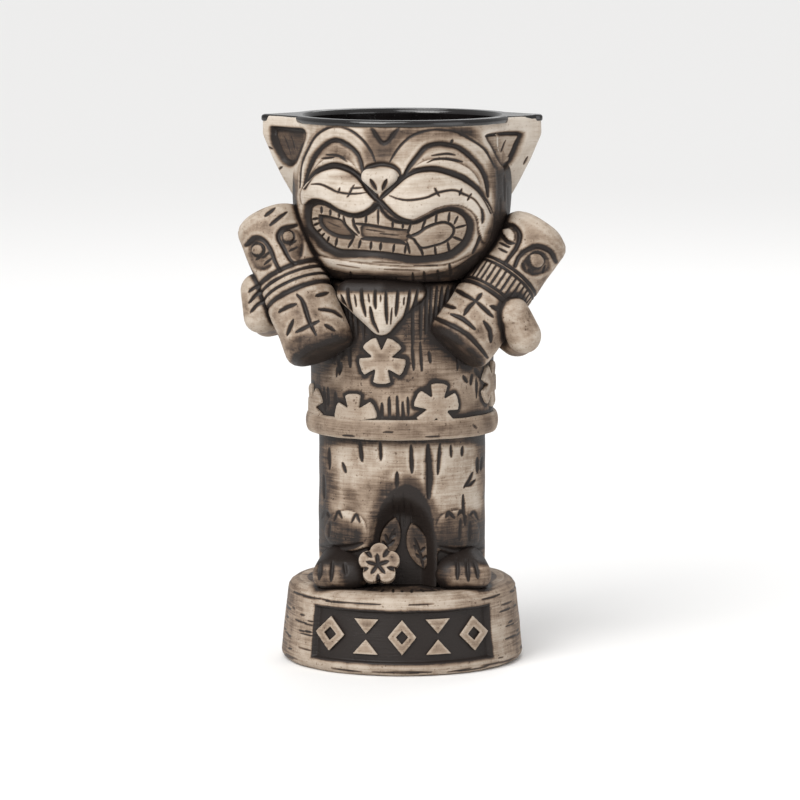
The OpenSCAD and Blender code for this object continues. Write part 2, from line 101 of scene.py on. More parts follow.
def flowing(path: Path, closed: bool = False, parts: int = 6) -> np.ndarray:
    """Draws a smooth line through a few points.

    Args:
        path: The points it passes through.
        closed: Whether it runs back to its first point.
        parts: How many short straight pieces lie between two points.

    Returns:
        The points of the smooth line, one a row.
    """
    p = np.array(path, float)
    if len(p) < 3:
        return p
    if closed:
        p = np.vstack([p[-1], p, p[0], p[1]])
    else:
        p = np.vstack([2 * p[0] - p[1], p, 2 * p[-1] - p[-2]])
    t = np.linspace(0, 1, parts, endpoint=False)[:, None]
    rows = [
        0.5 * (2 * b + (c - a) * t + (2 * a - 5 * b + 4 * c - d) * t**2 + (3 * b - a - 3 * c + d) * t**3)
        for a, b, c, d in zip(p[:-3], p[1:-2], p[2:-1], p[3:])
    ]
    return np.vstack(rows + [p[-2][None]])


def off_line(u: np.ndarray, v: np.ndarray, line: np.ndarray) -> tuple[np.ndarray, np.ndarray]:
    """How far points lie from a line.

    Args:
        u: First coordinates of the points.
        v: Second coordinates of the points.
        line: The line's points, one a row.

    Returns:
        The distances, and how far along the line, from 0 to 1, the nearest place is.
    """
    best = np.full(len(u), 1e9)
    along = np.zeros(len(u))
    lengths = np.hypot(*(line[1:] - line[:-1]).T)
    total = max(lengths.sum(), 1e-9)
    start = 0.0
    for (a, b), (c, d), long in zip(line[:-1], line[1:], lengths):
        if long < 1e-9:
            continue
        t = np.clip(((u - a) * (c - a) + (v - b) * (d - b)) / long**2, 0, 1)
        gap = np.hypot(u - a - t * (c - a), v - b - t * (d - b))
        closer = gap < best
        best = np.where(closer, gap, best)
        along = np.where(closer, (start + t * long) / total, along)
        start += long
    return best, along


def within(u: np.ndarray, v: np.ndarray, line: np.ndarray) -> np.ndarray:
    """Signed distance into a closed outline: positive inside, negative outside.

    Args:
        u: First coordinates of the points.
        v: Second coordinates of the points.
        line: The outline's points, one a row.

    Returns:
        The signed distances.
    """
    gap, _ = off_line(u, v, np.vstack([line, line[:1]]))
    inside = np.zeros(len(u), bool)
    for (a, b), (c, d) in zip(line, np.roll(line, -1, axis=0)):
        if b == d:
            continue
        crosses = ((b > v) != (d > v)) & (u < (c - a) * (v - b) / (d - b) + a)
        inside ^= crosses
    return np.where(inside, gap, -gap)


# ---- Clay under work ---------------------------------------------------------


class Clay:
    """A piece of clay under work, with its points in millimetres."""

    def __init__(self, name: str, mesh: bpy.types.Mesh) -> None:
        """Takes up a mesh whose lengths are millimetres.

        Args:
            name: The piece's name.
            mesh: Its mesh.
        """
        self.name = name
        self.mesh = mesh
        count = len(mesh.vertices)
        flat = np.empty(count * 3, np.float32)
        mesh.vertices.foreach_get("co", flat)
        self.co = flat.reshape(-1, 3).astype(float)
        pairs = np.empty(len(mesh.edges) * 2, np.int32)
        mesh.edges.foreach_get("vertices", pairs)
        self.edges = pairs.reshape(-1, 2)
        # Darkening by stain and by painted shade, and lightening of ridges where stain was wiped off, which
        # also paints a highlight on them.
        self.wash = np.zeros(count)
        self.rub_and_highlight = np.zeros(count)
        self.skin = np.ones(count)

    @classmethod
    def of(cls, name: str, bm: bmesh.types.BMesh) -> "Clay":
        """Makes clay of a finished bmesh, which is freed.

        Args:
            name: The piece's name.
            bm: The form, which is freed.

        Returns:
            The clay.
        """
        mesh = bpy.data.meshes.new(name)
        bm.to_mesh(mesh)
        bm.free()
        return cls(name, mesh)

    def put_back(self) -> None:
        """Writes the worked points back into the mesh."""
        self.mesh.vertices.foreach_set("co", self.co.astype(np.float32).ravel())
        self.mesh.update()

    def normals(self) -> np.ndarray:
        """The outward direction at each point.

        Returns:
            The directions, one a row.
        """
        self.put_back()
        flat = np.empty(len(self.co) * 3, np.float32)
        self.mesh.vertex_normals.foreach_get("vector", flat)
        return flat.reshape(-1, 3).astype(float)

    def blur(self, values: np.ndarray, rounds: int) -> np.ndarray:
        """Evens out values over the surface.

        Args:
            values: One row for each point.
            rounds: How often each point takes up half of its neighbours' mean.

        Returns:
            The evened values.
        """
        a, b = self.edges.T
        n = len(self.co)
        count = np.maximum(np.bincount(a, minlength=n) + np.bincount(b, minlength=n), 1)
        out = np.array(values, float).reshape(n, -1)
        for _ in range(rounds):
            for c in range(out.shape[1]):
                v = out[:, c]
                near = np.bincount(a, v[b], n) + np.bincount(b, v[a], n)
                out[:, c] = 0.5 * v + 0.5 * near / count
        return out.reshape(np.shape(values))

    def smooth(self, rounds: int) -> "Clay":
        """Softens the form with a damp sponge."""
        self.co = self.blur(self.co, rounds)
        return self

    def uneven(self, size: float, height: float, seed: float, where: np.ndarray | float = 1.0) -> None:
        """Gives the surface the slight lumps of hand-pressed clay.

        Args:
            size: Width of a lump.
            height: How far a lump stands out.
            seed: Shifts the pattern.
            where: How much of it each point takes.
        """
        shift = Vector((seed, 2.3 * seed, 5.1 * seed))
        lumps = np.array([noise.noise(Vector(p) / size + shift) for p in self.co])
        self.co += self.normals() * (lumps * height * where)[:, None]

    def settle_stain_shade_and_highlight(self, gain: float = 2.6) -> None:
        """Darkens hollows and lightens ridges by the surface's curvature: stain settles in the fine hollows,
        shade is painted into the broad hollows, and the ridges are wiped of stain, which also paints a
        highlight on them.

        Args:
            gain: How strongly the relief shows.
        """
        out = self.normals()
        fine = ((self.blur(self.co, 5) - self.co) * out).sum(1)
        broad = ((self.blur(self.co, 40) - self.co) * out).sum(1)
        fine -= np.median(fine)
        broad -= np.median(broad)
        hollow = np.clip(fine * gain, 0, 0.9)
        # Broad hollows take painted shade.
        basin = np.clip(broad * gain * 0.55, 0, 0.65)
        self.stain(hollow)
        self.stain(basin)
        # Ridges are wiped of stain, which also paints a highlight on them.
        self.rub_and_highlight = np.maximum(self.rub_and_highlight, np.clip(-fine * gain * 1.6 - 0.05, 0, 1))

    def stain(self, amount: np.ndarray) -> None:
        """Adds stain and painted shade on top of what is there."""
        self.wash = 1 - (1 - self.wash) * (1 - np.clip(amount, 0, 1))

    def tree(self) -> Neighbour:
        """A search tree of the surface, with the corners of its box."""
        faces = [tuple(p.vertices) for p in self.mesh.polygons]
        return BVHTree.FromPolygons(self.co.tolist(), faces), self.co.min(0), self.co.max(0)

    def near(
        self, others: Sequence[Neighbour], tight: float = 1.0, wide: float = 4.0, shade: float = 0.45
    ) -> None:
        """Darkens the seams where other members were luted on, and paints shade round them where the
        other members would shade this one.

        Args:
            others: Search trees of the members it meets.
            tight: Width of the dark line in the seam.
            wide: Width of the painted shade round it.
            shade: How dark the painted shade is.
        """
        for tree, low, high in others:
            at = np.flatnonzero(((self.co > low - wide) & (self.co < high + wide)).all(1))
            gaps = np.full(len(self.co), 1e3)
            found = (tree.find_nearest(p, wide)[3] for p in self.co[at].tolist())
            gaps[at] = [gap if gap is not None else 1e3 for gap in found]
            self.stain(0.95 * np.exp(-((gaps / tight) ** 2)))
            # Painted shade round the other member, fading with distance.
            self.stain(shade * (1 - ease(gaps / wide)))


class Carver:
    """Carves and models a piece along lines drawn in two coordinates."""

    def __init__(self, clay: Clay, u: np.ndarray, v: np.ndarray, share: np.ndarray) -> None:
        """Lays a drawing on the clay.

        Args:
            clay: The piece.
            u: Where each point lies across the drawing.
            v: Where each point lies up the drawing.
            share: How much of the drawing reaches each point, from 0 to 1.
        """
        self.clay, self.u, self.v, self.share = clay, u, v, share
        self.glance = share
        self.cut = np.zeros(len(u))
        self.rise = np.zeros(len(u))
        self.ink = np.zeros(len(u))

    def _close(self, line: np.ndarray, margin: float) -> np.ndarray:
        """Indices of the points that a line could reach.

        Args:
            line: The outline's points, one a row.
            margin: How much further to look.

        Returns:
            Which points are near enough.
        """
        low, high = line.min(0) - margin, line.max(0) + margin
        return np.flatnonzero(
            (
                self.share > 0.02
            ) & (self.u > low[0]) & (self.u < high[0]) & (self.v > low[1]) & (self.v < high[1])
        )

    def groove(
        self, path: Path, width: float = 1.1, depth: float = 0.7, ink: float = 1.0, taper: float = 0.6
    ) -> None:
        """Cuts a groove along a line.

        Args:
            path: Points the line passes through.
            width: Width of the cut.
            depth: Depth of the cut.
            ink: How much stain stays in it.
            taper: How much narrower it is at its two ends.
        """
        line = flowing(path)
        at = self._close(line, width * 2.5)
        if not len(at):
            return
        gap, along = off_line(self.u[at], self.v[at], line)
        wide = width * (1 - taper * np.abs(2 * along - 1) ** 3)
        tool = np.exp(-((gap / (0.5 * wide)) ** 2)) * self.share[at]
        pool = np.exp(-((gap / (0.62 * wide)) ** 2)) * self.share[at]
        deep = depth * (wide / width) ** 0.5
        self.cut[at] = np.maximum(self.cut[at], deep * tool)
        self.ink[at] = np.maximum(self.ink[at], ink * pool)

    def region(self, path: Path, height: float, edge: float = 0.8, ink: float = 0.0) -> None:
        """Raises or lowers the clay inside an outline.

        Args:
            path: The closed outline.
            height: How far the inside is raised, or lowered if negative.
            edge: Width of the slope at the outline.
            ink: How much stain the inside takes.
        """
        line = flowing(path, closed=True, parts=4)[:-1]
        at = self._close(line, edge)
        if not len(at):
            return
        deep = within(self.u[at], self.v[at], line)
        part = ease(deep / edge + 0.5) * self.share[at]
        self.rise[at] += height * part
        self.ink[at] = 1 - (1 - self.ink[at]) * (1 - ink * part)

    def cushion(self, path: Path, height: float, reach: float) -> None:
        """Swells the inside of an outline into a rounded pad.

        Args:
            path: The closed outline.
            height: Height of the pad's middle.
            reach: How far from the outline it takes to swell.
        """
        line = flowing(path, closed=True, parts=4)[:-1]
        at = self._close(line, 0.1)
        if not len(at):
            return
        deep = np.maximum(within(self.u[at], self.v[at], line), 0)
        self.rise[at] += height * quarter(deep / reach) * self.share[at]

    def tint(self, path: Path, amount: float, soft: float) -> None:
        """Leaves a soft darker patch inside an outline: stain in some places, painted shade in others.

        Args:
            path: The points of the outline.
            amount: How dark it becomes.
            soft: Width of the fading edge.
        """
        line = flowing(path, closed=True, parts=4)[:-1]
        low, high = line.min(0) - soft, line.max(0) + soft
        near = (self.u > low[0]) & (self.u < high[0]) & (self.v > low[1]) & (self.v < high[1])
        at = np.flatnonzero(near & (self.glance > 0.02))
        if len(at):
            deep = within(self.u[at], self.v[at], line)
            part = ease(deep / (2 * soft) + 0.5) * self.glance[at] * amount
            self.clay.wash[at] = 1 - (1 - self.clay.wash[at]) * (1 - part)

    def strokes(self, paths: Sequence[Path], width: float = 0.8, depth: float = 0.5, ink: float = 0.9) -> None:
        """Cuts several grooves of one kind."""
        for path in paths:
            self.groove(path, width, depth, ink)

    def press(self) -> None:
        """Moves the clay as the drawing says, and leaves its stain."""
        self.clay.co += self.clay.normals() * (self.rise - self.cut)[:, None]
        self.clay.stain(self.ink)
        self.cut[:] = 0
        self.rise[:] = 0
        self.ink[:] = 0


@dataclass(frozen=True)
class Sheet:
    """An upright drawing in front of the mug, carried on to the clay along lines of sight.

    The eye is a long way off and slightly above, and the drawing is true to size at the face.
    """

    reach: float = 1542.0
    lift: float = math.radians(7.1)
    across: float = 1490.6
    upward: float = 1501.6
    aim: float = 95.0
    base: float = 100.0

    def lay(self, clay: Clay, top: float = 187.9) -> Carver:
        """Lays the drawing on the side of a piece that faces the eye.

        Args:
            clay: The piece.
            top: Height at which the drawing ends, below the rim's glaze.

        Returns:
            The carver that works along the drawing.
        """
        x, y, z = clay.co.T
        s, c = math.sin(self.lift), math.cos(self.lift)
        depth = self.reach + c * y - s * (z - self.aim)
        u = x * self.across / depth
        v = self.base + self.upward * (s * y + c * (z - self.aim)) / depth
        out = clay.normals()
        facing = -c * out[:, 1] + s * out[:, 2]
        below = ease((top - z) / 1.2) * clay.skin
        c = Carver(clay, u, v, ease((facing - 0.05) / 0.3) * below)
        c.glance = ease((facing + 0.3) / 0.35) * below
        return c


SHEET = Sheet()


# ---- Ways of making clay -----------------------------------------------------


@dataclass
class Turning:
    """A form turned on the wheel from a few corners, then pressed out of round.

    Each corner is (inset or radius, height, share of the leg outline), and a corner of radius 0
    closes the form on the axis.
    """

    name: str
    corners: list[tuple[float, float, float]]
    cuts: list[int]
    steps: int
    closed: bool = True
    poles: tuple[int, ...] = ()
    crowd: float = 0.0

    def spin(self) -> tuple[Clay, np.ndarray, np.ndarray, np.ndarray, np.ndarray, np.ndarray]:
        """Turns the form.

        Returns:
            The clay, and for each point its bearing from the front, inset, height, share of the
            leg outline, and share of its ring's radius.
        """
        bm = bmesh.new()
        chain = [
            bm.verts.new((0.0 if i in self.poles else 10.0, 0.0, float(i))) for i in range(len(self.corners))
        ]
        for a, b in zip(chain[:-1], chain[1:]):
            bm.edges.new((a, b))
        if self.closed:
            bm.edges.new((chain[-1], chain[0]))
        for i, cut in enumerate(self.cuts):
            edge = [e for e in bm.edges if sorted(v.co.z for v in e.verts) == [i, i + 1]]
            if cut:
                bmesh.ops.subdivide_edges(bm, edges=edge[:1], cuts=cut)
        bmesh.ops.spin(
            bm, geom=bm.verts[:] + bm.edges[:], cent=(0, 0, 0), axis=(0, 0, 1), dvec=(0, 0, 0),
            angle=2 * math.pi, steps=self.steps, use_merge=True
        )
        bmesh.ops.remove_doubles(bm, verts=bm.verts, dist=1e-4)
        clay = Clay.of(self.name, bm)
        code = clay.co[:, 2].copy()
        bearing = np.arctan2(clay.co[:, 0], -clay.co[:, 1])
        bearing = bearing - self.crowd * np.sin(bearing)
        share = np.hypot(clay.co[:, 0], clay.co[:, 1]) / 10
        table = np.array(self.corners, float)
        order = np.arange(len(self.corners))
        inset, height, leg = (np.interp(code, order, table[:, k]) for k in range(3))
        return clay, bearing, inset, height, leg, share


def right_way_out(clay: Clay) -> Clay:
    """Turns all faces outwards once a form has its shape.

    Args:
        clay: The clay to be worked.

    Returns:
        The same clay.
    """
    clay.put_back()
    bm = bmesh.new()
    bm.from_mesh(clay.mesh)
    bmesh.ops.recalc_face_normals(bm, faces=bm.faces)
    bm.to_mesh(clay.mesh)
    bm.free()
    return clay


@dataclass
class Lump:
    """A lump of clay pressed together from balls: each group of balls is one convex mass."""

    name: str
    groups: list[list[tuple[float, float, float, float]]]
    grain: float = 0.38
    sponge: int = 4
    floor: float | None = None

    def model(self) -> Clay:
        """Presses the balls together and evens the surface.

        Returns:
            The clay.
        """
        bm = bmesh.new()
        for balls in self.groups:
            part = bmesh.new()
            for x, y, z, r in balls:
                bmesh.ops.create_uvsphere(
                    part, u_segments=32, v_segments=20, radius=r, matrix=Matrix.Translation((x, y, z))
                )
            hull = bmesh.ops.convex_hull(part, input=part.verts[:])
            spare = [
                g for g in hull["geom_interior"] + hull["geom_unused"] if isinstance(g, bmesh.types.BMVert)
            ]
            bmesh.ops.delete(part, geom=list(set(spare)), context="VERTS")
            bmesh.ops.recalc_face_normals(part, faces=part.faces)
            held = bpy.data.meshes.new("held")
            part.to_mesh(held)
            part.free()
            bm.from_mesh(held)
            bpy.data.meshes.remove(held)
        clay = evened(self.name, bm, self.grain).smooth(self.sponge)
        if self.floor is not None:
            clay.co[:, 2] = np.maximum(clay.co[:, 2], self.floor)
        return clay


def evened(name: str, bm: bmesh.types.BMesh, grain: float) -> Clay:
    """Gives a rough form an even skin of small faces.

    Args:
        name: The piece's name.
        bm: The rough, closed form, which is freed.
        grain: Width of the small faces.

    Returns:
        The clay.
    """
    rough = bpy.data.meshes.new(name + "_rough")
    bm.to_mesh(rough)
    bm.free()
    holder = bpy.data.objects.new(name + "_rough", rough)
    bpy.context.scene.collection.objects.link(holder)
    skin = holder.modifiers.new("skin", "REMESH")
    skin.mode = "VOXEL"
    skin.voxel_size = grain
    bpy.context.view_layer.update()
    graph = bpy.context.evaluated_depsgraph_get()
    mesh = bpy.data.meshes.new_from_object(holder.evaluated_get(graph))
    bpy.data.objects.remove(holder)
    bpy.data.meshes.remove(rough)
    mesh.name = name
    mesh.materials.clear()
    return Clay(name, mesh)


@dataclass
class Plate:
    """Flat outlines cut from a rolled sheet of clay; each set of outlines is one sheet."""

    name: str
    outlines: list[Path]
    thick: float
    grain: float = 0.34
    sponge: int = 2

    def model(self) -> Clay:
        """Cuts the plates out.

        Returns:
            The clay, flat: across, thickness from 0 upwards, and up the drawing.
        """
        bm = bmesh.new()
        for outline in self.outlines:
            ring = [bm.verts.new((u, 0.0, v)) for u, v in outline]
            face = bm.faces.new(ring)
            made = bmesh.ops.extrude_face_region(bm, geom=[face])
            moved = [g for g in made["geom"] if isinstance(g, bmesh.types.BMVert)]
            bmesh.ops.translate(bm, verts=moved, vec=(0, self.thick, 0))
        bmesh.ops.recalc_face_normals(bm, faces=bm.faces)
        return evened(self.name, bm, self.grain).smooth(self.sponge)


# ---- Colours, stains and their shader groups ---------------------------------


class Tone(Enum):
    """Colours of the fired clay, stain and glaze, as screen shares."""

    BONE = (0.790, 0.752, 0.706)
    CREAM = (0.702, 0.650, 0.592)
    SAND = (0.570, 0.500, 0.432)
    UMBER = (0.405, 0.335, 0.276)
    SEPIA = (0.250, 0.196, 0.158)
    INK = (0.128, 0.100, 0.086)
    JET = (0.035, 0.031, 0.031)
    SOOT = (0.075, 0.062, 0.060)
    PAPER = (0.960, 0.958, 0.955)

    def linear(self) -> tuple[float, float, float, float]:
        """The colour in linear light, opaque.

        Returns:
            The colour as a material takes it.
        """
        return (*(c / 12.92 if c <= 0.04045 else ((c + 0.055) / 1.055) ** 2.4 for c in self.value), 1.0)


class Socket(Enum):
    """Kinds of socket a shader group can have."""

    VALUE = "NodeSocketFloat"
    VECTOR = "NodeSocketVector"


class Graph:
    """Short ways to lay out a node tree."""

    def __init__(self, tree: bpy.types.NodeTree) -> None:
        """Works on an existing tree."""
        self.tree = tree

    def add(self, kind: str, **settings: object) -> bpy.types.Node:
        """Adds a node, sets its properties, and fills or links its inputs.

        Args:
            kind: The node's type name.
            settings: Properties by name; inputs as in_NAME or in_NUMBER.

        Returns:
            The node.
        """
        node = self.tree.nodes.new(kind)
        for name, value in settings.items():
            if not name.startswith("in_"):
                setattr(node, name, value)
        for name, value in settings.items():
            if name.startswith("in_"):
                key = name[3:]
                socket = node.inputs[int(key) if key.isdigit() else key.replace("_", " ")]
                if isinstance(value, bpy.types.NodeSocket):
                    self.tree.links.new(value, socket)
                else:
                    socket.default_value = value
        return node

    def math(self, operation: str, *terms: object, clamp: bool = False) -> bpy.types.NodeSocket:
        """Adds a Math node and returns its output."""
        inputs = {f"in_{i}": term for i, term in enumerate(terms)}
        return self.add("ShaderNodeMath", operation=operation, use_clamp=clamp, **inputs).outputs[0]

    def spread(self, value: object, low: float, high: float) -> bpy.types.NodeSocket:
        """Maps low to high on to 0 to 1, smoothly.

        Args:
            value: What is spread.
            low: Value that becomes 0.
            high: Value that becomes 1.

        Returns:
            The socket with the share.
        """
        node = self.add("ShaderNodeMapRange", interpolation_type="SMOOTHSTEP", in_Value=value)
        node.inputs["From Min"].default_value = low
        node.inputs["From Max"].default_value = high
        return node.outputs["Result"]


class Groups:
    """The shader groups shared by the finishes, each built once."""

    @staticmethod
    def _begin(name: str, inputs: dict[str, tuple[Socket, float | None]]) -> tuple[Graph, bpy.types.Node]:
        """Starts a group with named inputs and one output, Mask.

        Args:
            name: The piece's name.
            inputs: Each input's kind and first value.

        Returns:
            The graph and the group's input node.
        """
        tree = bpy.data.node_groups.new(name, "ShaderNodeTree")
        for label, (kind, value) in inputs.items():
            made = tree.interface.new_socket(label, in_out="INPUT", socket_type=kind.value)
            if value is not None:
                made.default_value = value
        tree.interface.new_socket("Mask", in_out="OUTPUT", socket_type=Socket.VALUE.value)
        return Graph(tree), tree.nodes.new("NodeGroupInput")

    @staticmethod
    def _end(graph: Graph, mask: bpy.types.NodeSocket) -> None:
        """Ends a group with its mask."""
        out = graph.tree.nodes.new("NodeGroupOutput")
        graph.tree.links.new(mask, out.inputs["Mask"])

    @classmethod
    def brushed(cls) -> bpy.types.NodeTree:
        """Dry brush streaks that break up along their length.

        Returns:
            The group.
        """
        name = "brushed_streaks"
        if name in bpy.data.node_groups:
            return bpy.data.node_groups[name]
        graph, given = cls._begin(
            name,
            {"Place": (Socket.VECTOR, None), "Stretch": (Socket.VECTOR, None), "Break": (Socket.VALUE, 0.5)}
        )
        run = graph.add(
            "ShaderNodeVectorMath", operation="MULTIPLY", in_0=given.outputs["Place"],
            in_1=given.outputs["Stretch"]
        )
        hair = graph.add(
            "ShaderNodeTexNoise", in_Vector=run.outputs[0], in_Scale=1.0, in_Detail=4.0, in_Roughness=0.62,
            in_Distortion=0.35
        )
        patch = graph.add(
            "ShaderNodeTexNoise", in_Vector=given.outputs["Place"], in_Scale=120.0, in_Detail=2.0,
            in_Roughness=0.5
        )
        hairs = graph.spread(hair.outputs["Fac"], 0.34, 0.68)
        patches = graph.spread(patch.outputs["Fac"], 0.32, 0.66)
        kept = graph.math("MULTIPLY", patches, given.outputs["Break"])
        rest = graph.math("SUBTRACT", 1.0, given.outputs["Break"])
        cls._end(graph, graph.math("MULTIPLY", hairs, graph.math("ADD", kept, rest)))
        return graph.tree

    @classmethod
    def specks(cls) -> bpy.types.NodeTree:
        """Small dark pits and specks scattered over the clay.

        Returns:
            The group.
        """
        name = "kiln_specks"
        if name in bpy.data.node_groups:
            return bpy.data.node_groups[name]
        graph, given = cls._begin(
            name, {"Place": (Socket.VECTOR, None), "Scale": (Socket.VALUE, 700.0), "Few": (Socket.VALUE, 0.66)}
        )
        pit = graph.add(
            "ShaderNodeTexNoise", in_Vector=given.outputs["Place"], in_Scale=given.outputs["Scale"],
            in_Detail=1.0, in_Roughness=0.4
        )
        over = graph.math("SUBTRACT", pit.outputs["Fac"], given.outputs["Few"])
        cls._end(graph, graph.math("MULTIPLY", over, 14.0, clamp=True))
        return graph.tree

    @classmethod
    def cloud(cls) -> bpy.types.NodeTree:
        """Broad clouds of thinner and thicker stain.

        Returns:
            The group.
        """
        name = "stain_cloud"
        if name in bpy.data.node_groups:
            return bpy.data.node_groups[name]
        graph, given = cls._begin(name, {"Place": (Socket.VECTOR, None), "Scale": (Socket.VALUE, 90.0)})
        big = graph.add(
            "ShaderNodeTexNoise", in_Vector=given.outputs["Place"], in_Scale=given.outputs["Scale"],
            in_Detail=5.0, in_Roughness=0.6, in_Distortion=0.5
        )
        cls._end(graph, graph.spread(big.outputs["Fac"], 0.3, 0.7))
        return graph.tree


@dataclass(frozen=True)
class Bisque:
    """Unglazed cream clay with a brown-black wash wiped off its high places, darkened further by painted shade
    and lightened by a painted highlight on the ridges, as the piece's maps say.
    """

    name: str
    soak: float = 0.06
    streaks: float = 0.26
    clouds: float = 0.24
    specks: float = 0.35
    stretch: tuple[float, float, float] = (90.0, 90.0, 1500.0)
    coarse: float = 0.5

    def material(self) -> bpy.types.Material:
        """Builds the finish once and returns it.

        Returns:
            The material.
        """
        if self.name in bpy.data.materials:
            return bpy.data.materials[self.name]
        made = bpy.data.materials.new(self.name)
        made.use_nodes = True
        graph = Graph(made.node_tree)
        skin = made.node_tree.nodes["Principled BSDF"]
        place = graph.add("ShaderNodeTexCoord").outputs["Object"]
        wash = graph.add("ShaderNodeAttribute", attribute_name="wash").outputs["Fac"]
        rub_and_highlight = graph.add("ShaderNodeAttribute", attribute_name="rub_and_highlight").outputs["Fac"]
        brushed = graph.add(
            "ShaderNodeGroup", node_tree=Groups.brushed(), in_Place=place, in_Stretch=self.stretch, in_Break=0.7
        ).outputs[0]
        cross = graph.add(
            "ShaderNodeGroup", node_tree=Groups.brushed(), in_Place=place, in_Stretch=(820.0, 820.0, 60.0),
            in_Break=0.85
        ).outputs[0]
        cloud = graph.add("ShaderNodeGroup", node_tree=Groups.cloud(), in_Place=place, in_Scale=95.0).outputs[0]
        speck = graph.add(
            "ShaderNodeGroup", node_tree=Groups.specks(), in_Place=place, in_Scale=980.0, in_Few=0.68
        ).outputs[0]
        fine = graph.add(
            "ShaderNodeGroup", node_tree=Groups.specks(), in_Place=place, in_Scale=1900.0, in_Few=0.62
        ).outputs[0]

        # Stain and painted shade from the piece's map darken the colour.
        held = graph.math("MULTIPLY", wash, 1.04)
        drift = graph.math("MULTIPLY", brushed, self.streaks)
        drift = graph.math("ADD", drift, graph.math("MULTIPLY", cross, self.streaks * 0.45))
        drift = graph.math("ADD", drift, graph.math("MULTIPLY", cloud, self.clouds))
        half = graph.math("ADD", graph.math("MULTIPLY", wash, 1.3), 0.42)
        drift = graph.math("MULTIPLY", drift, half)
        dots = graph.math(
            "ADD", graph.math("MULTIPLY", speck, self.specks), graph.math("MULTIPLY", fine, self.specks * 0.35)
        )
        total = graph.math("ADD", graph.math("ADD", held, drift), graph.math("ADD", dots, self.soak))
        # Ridges are lightened where stain was wiped off, which also paints a highlight on them.
        wiped_and_highlit = graph.math("MULTIPLY", rub_and_highlight, 0.22)
        total = graph.math("SUBTRACT", total, wiped_and_highlit, clamp=True)

        ramp = graph.add("ShaderNodeValToRGB", in_Fac=total)
        stops = ramp.color_ramp
        stops.elements[0].position = 0.0
        stops.elements[0].color = Tone.BONE.linear()
        stops.elements[1].position = 1.0
        stops.elements[1].color = Tone.INK.linear()
        for at, tone in ((0.16, Tone.CREAM), (0.36, Tone.SAND), (0.58, Tone.UMBER), (0.8, Tone.SEPIA)):
            stops.elements.new(at).color = tone.linear()
        made.node_tree.links.new(ramp.outputs["Color"], skin.inputs["Base Color"])

        sheen = graph.math("SUBTRACT", 0.74, graph.math("MULTIPLY", total, 0.24))
        made.node_tree.links.new(sheen, skin.inputs["Roughness"])
        skin.inputs["Specular IOR Level"].default_value = 0.32

        grit = graph.add(
            "ShaderNodeTexNoise", in_Vector=place, in_Scale=1500.0, in_Detail=3.0, in_Roughness=0.6
        ).outputs["Fac"]
        height = graph.math(
            "ADD", graph.math("MULTIPLY", grit, self.coarse), graph.math("MULTIPLY", brushed, -0.5)
        )
        height = graph.math("SUBTRACT", height, graph.math("MULTIPLY", speck, 0.8))
        bump = graph.add("ShaderNodeBump", in_Strength=0.45, in_Distance=0.00022, in_Height=height)
        made.node_tree.links.new(bump.outputs["Normal"], skin.inputs["Normal"])
        return made


@dataclass(frozen=True)
class BlackGlaze:
    """Glossy near-black liner glaze."""

    name: str = "black_liner_glaze"

    def material(self) -> bpy.types.Material:
        """Builds the finish once and returns it.

        Returns:
            The material.
        """
        if self.name in bpy.data.materials:
            return bpy.data.materials[self.name]
        made = bpy.data.materials.new(self.name)
        made.use_nodes = True
        graph = Graph(made.node_tree)
        skin = made.node_tree.nodes["Principled BSDF"]
        place = graph.add("ShaderNodeTexCoord").outputs["Object"]
        pool = graph.add("ShaderNodeGroup", node_tree=Groups.cloud(), in_Place=place, in_Scale=60.0).outputs[0]
        fleck = graph.add(
            "ShaderNodeGroup", node_tree=Groups.specks(), in_Place=place, in_Scale=900.0, in_Few=0.66
        ).outputs[0]
        tint = graph.add("ShaderNodeMix", data_type="RGBA")
        made.node_tree.links.new(pool, tint.inputs["Factor"])
        tint.inputs["A"].default_value = Tone.JET.linear()
        tint.inputs["B"].default_value = Tone.SOOT.linear()
        made.node_tree.links.new(tint.outputs["Result"], skin.inputs["Base Color"])
        gloss = graph.math("ADD", 0.11, graph.math("MULTIPLY", pool, 0.09))
        gloss = graph.math("ADD", gloss, graph.math("MULTIPLY", fleck, 0.15))
        made.node_tree.links.new(gloss, skin.inputs["Roughness"])
        skin.inputs["Coat Weight"].default_value = 0.4
        skin.inputs["Coat Roughness"].default_value = 0.05
        peel = graph.add(
            "ShaderNodeTexNoise", in_Vector=place, in_Scale=260.0, in_Detail=2.0, in_Roughness=0.5
        ).outputs["Fac"]
        bump = graph.add("ShaderNodeBump", in_Strength=0.18, in_Distance=0.0003, in_Height=peel)
        made.node_tree.links.new(bump.outputs["Normal"], skin.inputs["Normal"])
        return made


FACE_CLAY = Bisque("face_bisque", soak=0.0, streaks=0.26, clouds=0.2, specks=0.16)
SHIRT_CLAY = Bisque("shirt_bisque", soak=0.2, streaks=0.4, clouds=0.4, specks=0.3)
LEG_CLAY = Bisque("trouser_bisque", soak=0.03, streaks=0.36, clouds=0.34, specks=0.25)
BASE_CLAY = Bisque(
    "plinth_bisque", soak=0.12, streaks=0.5, clouds=0.3, specks=0.25, stretch=(70.0, 70.0, 1700.0)
)
CUP_CLAY = Bisque(
    "beaker_bisque", soak=0.1, streaks=0.34, clouds=0.36, specks=0.25, stretch=(240.0, 240.0, 700.0)
)
TRIM_CLAY = Bisque("trim_bisque", soak=0.16, streaks=0.3, clouds=0.3, specks=0.25)
GLAZE_COAT = BlackGlaze()


class Slot(Enum):
    """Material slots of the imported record."""

    CLAY = "stained_bisque"
    GLAZE = "black_glaze"


